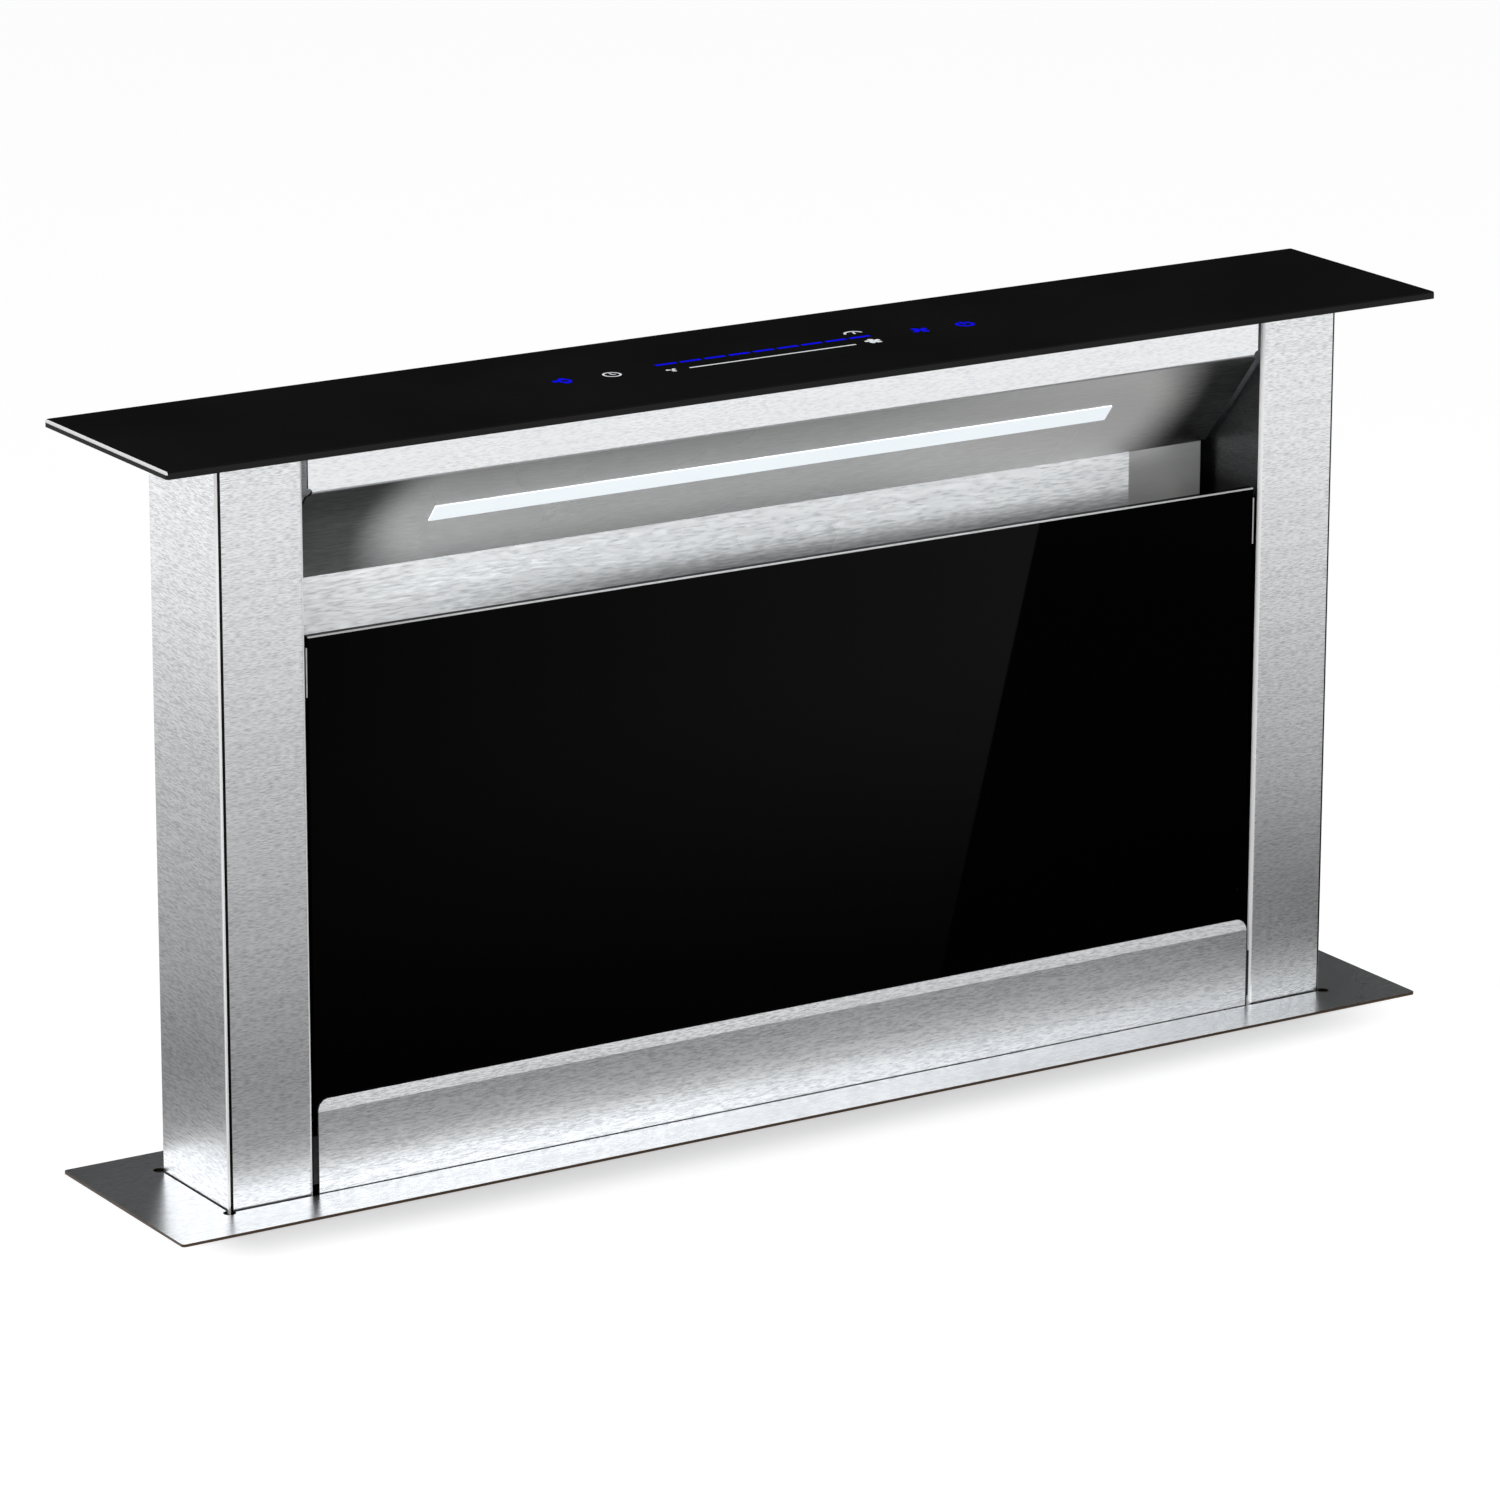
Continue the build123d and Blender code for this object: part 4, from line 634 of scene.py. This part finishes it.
# toothed belt: ribs across the belt on its straight runs
beltLook = {
    "pitch": 0.005, "ribSpan": (-0.3, 0.3), "dark": 0.008, "light": 0.022, "skin": 1600.0,
    "smoothest": 0.55, "roughest": 0.7, "bump": 0.0006,
}


def beltMaterial():
    look = beltLook
    material, tree, shader = startMaterial("toothedBelt")
    wave = calc(tree, "SINE", times(tree, splitAxes(tree)[2], 2 * math.pi / look["pitch"]))
    ribs = remap(tree, wave, *look["ribSpan"], smooth=True)
    skin = useEffect(tree, "skin", Scale=look["skin"])
    colour = blendColour(tree, ribs, grey(look["dark"]), grey(look["light"]))
    feed(tree, shader.inputs["Base Color"], colour)
    rough = between(tree, skin["Height"], look["smoothest"], look["roughest"])
    feed(tree, shader.inputs["Roughness"], rough)
    addBump(tree, shader, ribs, look["bump"])
    return material


# the marks of the controls, lit from below or printed; the printed ones glow by emission as well, a
# painted glow
markLooks = {"blueLight": (0.002, 0.002, 0.86), "whitePrintGlow": (0.78, 0.8, 0.82)}
markCloud = {"scale": 300.0, "darker": 0.85, "base": 0.004}


def markMaterial(name):
    material, tree, shader = startMaterial(name)
    cloud = useEffect(tree, "cloud", Scale=markCloud["scale"])
    dark, light = grey(markCloud["darker"], markLooks[name]), grey(1.0, markLooks[name])
    # emission: backlight for the blue marks, painted glow for the printed white ones
    feed(tree, shader.inputs["Emission Color"], blendColour(tree, cloud["Mask"], dark, light))
    shader.inputs["Emission Strength"].default_value = 1.0
    shader.inputs["Base Color"].default_value = grey(markCloud["base"])
    shader.inputs["Specular IOR Level"].default_value = 0.0
    return material


finishes = {
    "brushedSteel": steelMaterial(),
    "plateSteel": plateMaterial(),
    "columnSteel": columnMaterial(),
    "backSteel": backMaterial(),
    "hoodSteel": hoodMaterial(),
    "coverGlass": coverMaterial(),
    "doorGlass": doorMaterial(),
    "lampLens": lampMaterial(),
    "filterMesh": meshMaterial(),
    "toothedBelt": beltMaterial(),
}
finishes.update({name: sheetMaterial(name) for name in sheetLooks})
finishes.update({name: mouldedMaterial(name) for name in mouldedLooks})
finishes.update({name: markMaterial(name) for name in markLooks})

finishOf = {
    "brushedSteel": ["rear_panel", "lower_fascia"],
    "plateSteel": ["worktop_flange"],
    "backSteel": ["back_panel"],
    "columnSteel": ["left_column", "right_column"],
    "hoodSteel": ["intake_hood"],
    "coverGlass": ["top_glass"],
    "doorGlass": ["front_glass"],
    "lampLens": ["led_diffuser"],
    "galvanised": [
        "casing_front", "casing_rear", "casing_left", "casing_right", "casing_floor", "guide_rails",
        "blower_box", "blower_cover", "fan_scroll", "duct_spigot", "base_rails",
        "control_box", "control_box_lid",
    ],
    "zincPlate": [
        "base_crossbars", "door_catches", "door_hinge_pins", "belt_clamps", "casing_screws",
        "idler_pins", "drive_shaft", "motor_bracket", "fan_shaft", "flap_pin", "inlet_ring",
        "filter_rail_upper", "filter_rail_lower",
    ],
    # painted shade: near-black zinc on the parts seen only in dark gaps
    "zincPaintedShade": ["glass_carrier", "lower_crossbar", "door_frame", "door_hinge_brackets"],
    "aluminium": ["led_module", "drive_pulleys", "shaft_bearings"],
    "filterMesh": ["filter_left", "filter_right"],
    "blackPlastic": ["touch_unit", "cable_gland", "impeller", "flap_front", "flap_rear"],
    "nylon": ["slide_shoes", "door_stops", "idler_left", "idler_right"],
    "rubber": ["wiper_seal", "foot_pads"],
    "motorEnamel": ["gear_motor", "fan_motor"],
    "toothedBelt": ["drive_belts"],
}
for finish, names in finishOf.items():
    for name in names:
        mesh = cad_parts[name].data
        mesh.materials.clear()
        mesh.materials.append(finishes[finish])
dressed = {name for names in finishOf.values() for name in names}
print("finishes on CAD nodes:", len(dressed), "missing:", sorted(set(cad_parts) - dressed))


def newPiece(name, sheet, material):
    mesh = bpy.data.meshes.new(name)
    sheet.to_mesh(mesh)
    sheet.free()
    mesh.materials.append(material)
    piece = bpy.data.objects.new(name, mesh)
    bpy.context.scene.collection.objects.link(piece)
    return piece


def keepPiece(name, sheet, finish, body):
    bmesh.ops.recalc_face_normals(sheet, faces=sheet.faces)
    piece = newPiece(name, sheet, finishes[finish])
    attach(piece, body)


def stagePiece(name, sheet, material):
    piece = newPiece(name, sheet, material)
    return piece


def newRing(sheet, points):
    return [sheet.verts.new(point) for point in points]


def joinRings(sheet, first, second):
    for i in range(len(first)):
        j = (i + 1) % len(first)
        sheet.faces.new((first[i], first[j], second[j], second[i]))


# controls under the cover glass, each a thin flat shape just on its face
controls = {
    "rise": 0.00001, "thickness": 0.00002,
    "barStart": -0.0503, "barEnd": 0.0523, "barY": 0.0027, "barWidth": 0.0021,
    "barCount": 9, "barGap": 0.0018,
    "sliderStart": -0.0406, "sliderEnd": 0.0388, "sliderY": -0.0078, "sliderWidth": 0.0012,
}
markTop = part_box("top_glass")[1].z + controls["rise"]


def flatShape(sheet, points):
    foot = newRing(sheet, [(x, y, markTop - controls["thickness"]) for x, y in points])
    face = newRing(sheet, [(x, y, markTop) for x, y in points])
    sheet.faces.new(face)
    sheet.faces.new(list(reversed(foot)))
    joinRings(sheet, foot, face)


def bar(sheet, x0, y0, x1, y1, width):
    run = Vector((x1 - x0, y1 - y0))
    side = Vector((-run.y, run.x)).normalized() * width / 2
    flatShape(sheet, [
        (x0 - side.x, y0 - side.y), (x1 - side.x, y1 - side.y),
        (x1 + side.x, y1 + side.y), (x0 + side.x, y0 + side.y)])


def arc(sheet, x, y, radius, width, start, end, steps):
    def point(reach, turn):
        return x + reach * math.cos(turn), y + reach * math.sin(turn)

    inner, outer = radius - width / 2, radius + width / 2
    turns = [math.radians(start + (end - start) * i / steps) for i in range(steps + 1)]
    for a, b in zip(turns, turns[1:]):
        flatShape(sheet, [point(inner, a), point(outer, a), point(outer, b), point(inner, b)])


# one fan blade leans as it goes out; its outline is pairs of reach and half width, in radii
leafShape = {"lean": 0.35, "outline": ((0.1, 0.1), (0.4, 0.27), (0.75, 0.36), (1.0, 0.16))}


def leaf(sheet, x, y, radius, turn):
    def edge(reach, half):
        angle = math.radians(turn) + leafShape["lean"] * reach
        return (
            x + radius * (reach * math.cos(angle) + half * math.sin(angle)),
            y + radius * (reach * math.sin(angle) - half * math.cos(angle)))

    right = [edge(reach, half) for reach, half in leafShape["outline"]]
    left = [edge(reach, -half) for reach, half in reversed(leafShape["outline"])]
    flatShape(sheet, right + left)


# arcs: centre x and y, radius, width, start and end in degrees, steps
# bars: start x and y, end x and y, width
# wheel: centre x and y, radius, number of leaves, turn of the first in degrees
marks = {
    "lampKey": {
        "finish": "blueLight",
        "arcs": [(-0.0950, -0.0012, 0.0023, 0.0014, 0, 360, 24)],
        "bars": [
            (-0.1000, -0.0004, -0.0972, -0.0004, 0.0026),
            (-0.0970, -0.0047, -0.0936, -0.0044, 0.0014),
            (-0.0962, 0.0024, -0.0930, 0.0022, 0.0012),
        ],
    },
    "timerKey": {
        "finish": "whitePrintGlow",
        "arcs": [(-0.0733, -0.0017, 0.0035, 0.0009, 0, 360, 36)],
        "bars": [
            (-0.0733, -0.0022, -0.0733, 0.0007, 0.0007),
            (-0.0734, -0.0019, -0.0716, -0.0019, 0.0007),
        ],
    },
    "slowMark": {"finish": "whitePrintGlow", "wheel": (-0.0488, -0.0076, 0.0026, 3, 20)},
    "fastMark": {"finish": "whitePrintGlow", "wheel": (0.0482, -0.0063, 0.0037, 5, 0)},
    "gaugeMark": {
        "finish": "whitePrintGlow",
        "arcs": [(0.0490, 0.0090, 0.0040, 0.0011, 10, 170, 18)],
        "bars": [(0.0490, 0.0086, 0.0498, 0.0116, 0.0009)],
    },
    "fanKey": {"finish": "blueLight", "wheel": (0.0754, 0.0004, 0.0042, 4, 10)},
    "powerKey": {
        "finish": "blueLight",
        "arcs": [(0.0973, 0.0, 0.0034, 0.0015, 120, 420, 32)],
        "bars": [(0.0973, -0.0004, 0.0973, 0.0044, 0.0014)],
    },
}


def keepMark(name, sheet, finish):
    keepPiece(name, sheet, finish, "tower")


def makeControls():
    y = controls["barY"]
    pitch = (controls["barEnd"] - controls["barStart"] + controls["barGap"]) / controls["barCount"]
    sheet = bmesh.new()
    for i in range(controls["barCount"]):
        start = controls["barStart"] + i * pitch
        bar(sheet, start, y, start + pitch - controls["barGap"], y, controls["barWidth"])
    keepMark("speedBar", sheet, "blueLight")

    y = controls["sliderY"]
    sheet = bmesh.new()
    bar(sheet, controls["sliderStart"], y, controls["sliderEnd"], y, controls["sliderWidth"])
    keepMark("sliderLine", sheet, "whitePrintGlow")

    for name, mark in marks.items():
        sheet = bmesh.new()
        for numbers in mark.get("arcs", ()):
            arc(sheet, *numbers)
        for numbers in mark.get("bars", ()):
            bar(sheet, *numbers)
        if "wheel" in mark:
            x, y, radius, count, first = mark["wheel"]
            for i in range(count):
                leaf(sheet, x, y, radius, first + i * 360 / count)
        keepMark(name, sheet, mark["finish"])


makeControls()
print("controls made")


# small fasteners: a domed head with a six-sided recess, turned to the face it sits on;
# the dome is pairs of a share of the radius and a share of the height
screw = {
    "steps": 24, "recess": 0.42, "recessFloor": 0.35,
    "dome": ((1.0, 0.0), (1.0, 0.35), (0.86, 0.78), (0.62, 1.0)),
}


def screwHead(sheet, place, facing, radius, height):
    turn = Vector((0, 0, 1)).rotation_difference(Vector(facing)).to_matrix().to_4x4()
    turn.translation = Vector(place)
    angles = [2 * math.pi * i / screw["steps"] for i in range(screw["steps"])]

    def ring(reaches, rise):
        points = [(r * math.cos(a), r * math.sin(a), height * rise) for r, a in zip(reaches, angles)]
        return newRing(sheet, [turn @ Vector(point) for point in points])

    flats = radius * screw["recess"] * math.cos(math.pi / 6)  # half the width across the recess
    hexagon = [flats / math.cos((a % (math.pi / 3)) - math.pi / 6) for a in angles]
    rings = [ring([radius * share] * len(angles), rise) for share, rise in screw["dome"]]
    rings += [ring(hexagon, rise) for rise in (1.0, screw["recessFloor"])]
    for lower, upper in zip(rings, rings[1:]):
        joinRings(sheet, lower, upper)
    sheet.faces.new(rings[-1])
    sheet.faces.new(list(reversed(rings[0])))


# rearScrews are countersunk flush, so only a shallow rim shows
screwSets = {
    "coverScrews": {"radius": 0.0036, "height": 0.0022, "inset": 0.009, "dish": 0.003, "middle": 0.1},
    "lidScrews": {"radius": 0.003, "height": 0.002, "inset": 0.007},
    "spigotScrews": {"radius": 0.0034, "height": 0.0022, "inset": 0.01, "plate": 0.0015},
    "rearScrews": {"radius": 0.003, "height": 0.0003, "inset": 0.01, "rows": (0.285, 0.15, 0.02)},
}


def fastenerSet(name, body, places, facing):
    sheet = bmesh.new()
    for place in places:
        screwHead(sheet, place, facing, screwSets[name]["radius"], screwSets[name]["height"])
    keepPiece(name, sheet, "zincPlate", body)


def makeFasteners():
    look = screwSets["coverScrews"]
    low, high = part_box("blower_cover")
    face = low.y + look["dish"]  # the cover's flat, behind its pressed dish
    left, right = low.x + look["inset"], high.x - look["inset"]
    foot, top = low.z + look["inset"], high.z - look["inset"]
    half = (low.z + high.z) / 2
    places = []
    for x in (left, low.x + look["middle"], high.x - look["middle"], right):
        rows = (foot, half, top) if x in (left, right) else (foot, top)
        places += [(x, face, z) for z in rows]
    fastenerSet("coverScrews", "housing", places, (0, -1, 0))

    inset = screwSets["lidScrews"]["inset"]
    low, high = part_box("control_box_lid")
    rows = (low.z + inset, high.z - inset)
    places = [(x, low.y, z) for x in (low.x + inset, high.x - inset) for z in rows]
    fastenerSet("lidScrews", "housing", places, (0, -1, 0))

    inset = screwSets["spigotScrews"]["inset"]
    low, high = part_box("duct_spigot")
    face = low.x + screwSets["spigotScrews"]["plate"]
    rows = (low.z + inset, high.z - inset)
    places = [(face, y, z) for y in (low.y + inset, high.y - inset) for z in rows]
    fastenerSet("spigotScrews", "housing", places, (1, 0, 0))

    look = screwSets["rearScrews"]
    low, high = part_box("rear_panel")
    columns = (low.x + look["inset"], 0.0, high.x - look["inset"])
    places = [(x, high.y, z) for x in columns for z in look["rows"]]
    fastenerSet("rearScrews", "tower", places, (0, 1, 0))


makeFasteners()
print("fasteners made")


# worktop slab with its cut-out, and the floor below it; on the slab, a painted shadow, a soft grey
# strip, lies in front of the plate, as the photograph has it
worktop = {
    "x": (-0.49, 0.335), "y": (-0.545, 0.095), "cutX": 0.2815, "cutY": 0.0395,
    "top": -0.00005, "thickness": 0.03, "shadow": 0.64,
}
floor = {"half": 9.0, "gap": 0.0001}
paleLook = {
    "plain": 0.8, "soft": 0.62, "glow": (0.4, 0.6, 0.16, 0.58),
    "shadowFade": (-0.092, -0.0535, 0.0, 1.0), "shadowBack": -0.05,
    "shadowLeft": (-0.305, -0.27), "shadowRight": (0.305, 0.23),
}


def rectangle(x0, y0, x1, y1):
    return [(x0, y0), (x1, y0), (x1, y1), (x0, y1)]


# 1 for what the camera sees straight, in a mirror or through glass, 0 for the light that is cast
def seenRays(tree):
    rays = addNode(tree, "ShaderNodeLightPath").outputs
    mirrored = largest(tree, rays["Is Glossy Ray"], rays["Is Transmission Ray"])
    return largest(tree, rays["Is Camera Ray"], mirrored)


# seen, the stage is nearly white and its upright sides are grey, a painted shade from a weaker glow;
# for cast light it is plain
def paleMaterial(name, shadow=0.0):
    look = paleLook
    material, tree, shader = startMaterial(name)
    tree.nodes.remove(shader)
    plain = addNode(tree, "ShaderNodeBsdfDiffuse")
    plain.inputs["Color"].default_value = grey(look["plain"])
    soft = addNode(tree, "ShaderNodeBsdfDiffuse")
    soft.inputs["Color"].default_value = grey(look["soft"])
    glow = addNode(tree, "ShaderNodeEmission")
    normal = splitAxes(tree, "Normal")
    # painted shade: faces that are not upward glow less than the top
    feed(tree, glow.inputs["Strength"], remap(tree, normal[2], *look["glow"]))
    place = splitAxes(tree)
    # painted shadow: a soft grey strip in front of the plate
    paintedShadowMask = times(
        tree, remap(tree, place[1], *look["shadowFade"], smooth=True),
        below(tree, place[1], look["shadowBack"]),
        remap(tree, place[0], *look["shadowLeft"], smooth=True),
        remap(tree, place[0], *look["shadowRight"], smooth=True), shadow)
    feed(tree, glow.inputs["Color"], blendColour(tree, paintedShadowMask, grey(1.0), grey(0.0)))
    bright = addNode(tree, "ShaderNodeAddShader")
    tree.links.new(soft.outputs[0], bright.inputs[0])
    tree.links.new(glow.outputs[0], bright.inputs[1])
    mix = addNode(tree, "ShaderNodeMixShader")
    for socket, source in zip(mix.inputs, (seenRays(tree), plain.outputs[0], bright.outputs[0])):
        tree.links.new(source, socket)
    tree.links.new(mix.outputs[0], tree.nodes["Material Output"].inputs["Surface"])
    return material


def makeStage():
    sheet = bmesh.new()
    (left, right), (front, back) = worktop["x"], worktop["y"]
    outline = rectangle(left, front, right, back)
    cut = rectangle(-worktop["cutX"], -worktop["cutY"], worktop["cutX"], worktop["cutY"])
    rings = []
    for z in (worktop["top"], -worktop["thickness"]):
        for points in (outline, cut):
            rings.append(newRing(sheet, [(x, y, z) for x, y in points]))
    outerTop, innerTop, outerFoot, innerFoot = rings
    joinRings(sheet, outerTop, innerTop)
    joinRings(sheet, innerFoot, outerFoot)
    joinRings(sheet, outerFoot, outerTop)
    joinRings(sheet, innerTop, innerFoot)
    stagePiece("worktopSlab", sheet, paleMaterial("paleWorktop", worktop["shadow"]))

    sheet = bmesh.new()
    level = startBox[0][2] - floor["gap"]
    corners = rectangle(-floor["half"], -floor["half"], floor["half"], floor["half"])
    sheet.faces.new(newRing(sheet, [(x, y, level) for x, y in corners]))
    stagePiece("floor", sheet, paleMaterial("paleFloor"))


makeStage()


# cards that only reflections see

def onlyReflected(piece):
    piece.visible_camera = False
    piece.visible_diffuse = False
    piece.visible_shadow = False
    piece.visible_transmission = False


def cardMaterial(name, paint):
    material, tree, shader = startMaterial(name)
    tree.nodes.remove(shader)
    glow = addNode(tree, "ShaderNodeEmission")
    glow.inputs["Color"].default_value = grey(1.0)
    paint(tree, glow)
    tree.links.new(glow.outputs[0], tree.nodes["Material Output"].inputs["Surface"])
    return material


# what the steel sees of the worktop: dimmer round the object and beyond its right end, brighter
# away from it and in a strip along the plate's front; a pale wedge straight out to the left
# lights the bend of the left column
floorCard = {
    "level": 0.0003, "half": 1.3, "gap": 0.001, "plateX": 0.3, "plateY": 0.052,
    "stops": ((0.0, 0.3), (0.045, 0.28), (0.1, 0.2), (0.3, 0.36), (0.55, 0.5), (1.0, 0.95)),
    "rightSpan": (0.1, 0.42), "rightReach": (0.34, 0.1), "rightShade": 0.5,
    "foot": 0.55, "footReach": (0.032, 0.0), "footFront": (-0.03, -0.05, 0.35, 1.0),
    "footSpan": (-0.05, 0.28, 1.12, 0.68),
    "wedge": 1.0, "wedgeX": 0.2665, "wedgeTurn": -0.13, "wedgeWidth": 0.2,
}


def paintFloorCard(tree, glow):
    look = floorCard
    place = splitAxes(tree)
    besideX = outside(tree, place[0], look["plateX"])
    away = diagonal(tree, besideX, outside(tree, place[1], look["plateY"]))
    ramp = addNode(tree, "ShaderNodeValToRGB")
    ramp.color_ramp.interpolation = "EASE"
    for i, (at, level) in enumerate(look["stops"]):
        elements = ramp.color_ramp.elements
        stop = elements[i] if i < 2 else elements.new(at)  # a new ramp has two stops
        stop.position = at
        stop.color = grey(level)
    feed(tree, ramp.inputs[0], away)
    right = times(
        tree, remap(tree, place[0], *look["rightSpan"], smooth=True),
        remap(tree, away, *look["rightReach"], smooth=True))
    shade = minus(tree, 1.0, times(tree, right, look["rightShade"]))
    foot = times(
        tree, remap(tree, away, *look["footReach"], smooth=True),
        remap(tree, place[1], *look["footFront"]), look["foot"],
        remap(tree, place[0], *look["footSpan"]))
    middle = times(tree, plus(tree, place[0], look["wedgeX"]), look["wedgeTurn"])
    fromMiddle = magnitude(tree, minus(tree, place[1], middle))
    reach = largest(tree, minus(tree, -look["wedgeX"], place[0]), 0.0)
    wedge = below(tree, fromMiddle, times(tree, reach, look["wedgeWidth"]))
    pale = largest(tree, ramp.outputs[0], times(tree, wedge, look["wedge"]))
    tree.links.new(plus(tree, times(tree, pale, shade), foot), glow.inputs["Strength"])


def makeFloorCard():
    low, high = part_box("worktop_flange")
    half, gap = floorCard["half"], floorCard["gap"]
    hole = rectangle(low.x - gap, low.y - gap, high.x + gap, high.y + gap)
    sheet = bmesh.new()
    outer, inner = (
        newRing(sheet, [(x, y, floorCard["level"]) for x, y in points])
        for points in (rectangle(-half, -half, half, half), hole))
    joinRings(sheet, outer, inner)
    onlyReflected(stagePiece("floorCard", sheet, cardMaterial("floorCard", paintFloorCard)))


# upright cards: a dark one behind, and two soft boxes, low at the front right and at the back
# left, that whiten the feet and the plate; the front one fades out towards its right end
uprights = {
    "top": 1.9, "backLevel": 0.02, "softboxFade": (1.44, 1.63, 1.5, 0.25),
    "backCard": {"start": (-0.4, 2.2), "end": (2.6, 1.2), "foot": 0.15},
    "softboxFront": {"start": (0.3, -2.6), "end": (2.4, -1.5), "foot": 0.12},
    "softboxBack": {"start": (-2.4, 0.9), "end": (-0.7, 2.4), "foot": 0.12},
}


def paintBackCard(tree, glow):
    glow.inputs["Color"].default_value = grey(uprights["backLevel"])


def paintSoftbox(tree, glow):
    strength = remap(tree, splitAxes(tree)[0], *uprights["softboxFade"], smooth=True)
    feed(tree, glow.inputs["Strength"], strength)


def makeUpright(name, material):
    look = uprights[name]
    foot, top = look["foot"], uprights["top"]
    sheet = bmesh.new()
    corners = [
        (*look["start"], foot), (*look["end"], foot), (*look["end"], top), (*look["start"], top)]
    sheet.faces.new(newRing(sheet, corners))
    onlyReflected(stagePiece(name, sheet, material))


def makeCards():
    makeFloorCard()
    makeUpright("backCard", cardMaterial("backCard", paintBackCard))
    softbox = cardMaterial("softbox", paintSoftbox)
    for name in ("softboxFront", "softboxBack"):
        makeUpright(name, softbox)


makeCards()
print("stage made")


# soft light: an even pale world, a large lamp from the front left and a weaker one from the right
lighting = {
    "ambient": 0.62, "aim": (0, 0, 0.1),
    "key": {"place": (-1.9, -2.2, 2.6), "size": 1.8, "watts": 44.0},
    "fill": {"place": (2.4, -1.2, 1.9), "size": 1.6, "watts": 16.0},
}


def makeLamp(name, look):
    lamp = bpy.data.lights.new(name, "AREA")
    lamp.size = look["size"]
    lamp.energy = look["watts"]
    holder = bpy.data.objects.new(name, lamp)
    holder.location = look["place"]
    holder.rotation_mode = "QUATERNION"
    aim = Vector(lighting["aim"]) - Vector(look["place"])
    holder.rotation_quaternion = aim.to_track_quat("-Z", "Y")
    bpy.context.scene.collection.objects.link(holder)
    holder.visible_glossy = False


def makeLight():
    world = bpy.data.worlds.new("paleRoom")
    bpy.context.scene.world = world
    world.use_nodes = True
    tree = world.node_tree
    background = tree.nodes["Background"]
    background.inputs["Color"].default_value = grey(1.0)
    strength = between(tree, seenRays(tree), lighting["ambient"], 1.0)
    feed(tree, background.inputs["Strength"], strength)
    makeLamp("keyLamp", lighting["key"])
    makeLamp("fillLamp", lighting["fill"])


makeLight()


# the photograph's viewpoint
viewpoint = {
    "place": (-1.5057, -2.3728, 0.9576),
    "right": (0.84578, -0.53353, 0.00228),
    "up": (0.14674, 0.23672, 0.96043),
    "lens": 171.0, "sensor": 36.0, "nearest": 0.05, "farthest": 60.0,
}


def makeCamera():
    camera = bpy.data.cameras.new("mainCamera")
    camera.lens = viewpoint["lens"]
    camera.sensor_width = viewpoint["sensor"]
    camera.clip_start = viewpoint["nearest"]
    camera.clip_end = viewpoint["farthest"]
    holder = bpy.data.objects.new("mainCamera", camera)
    right, up = Vector(viewpoint["right"]), Vector(viewpoint["up"])
    turn = Matrix((right, up, right.cross(up))).transposed().to_4x4()
    turn.translation = Vector(viewpoint["place"])
    holder.matrix_world = turn
    bpy.context.scene.collection.objects.link(holder)
    bpy.context.scene.camera = holder


makeCamera()

print("scene ready")
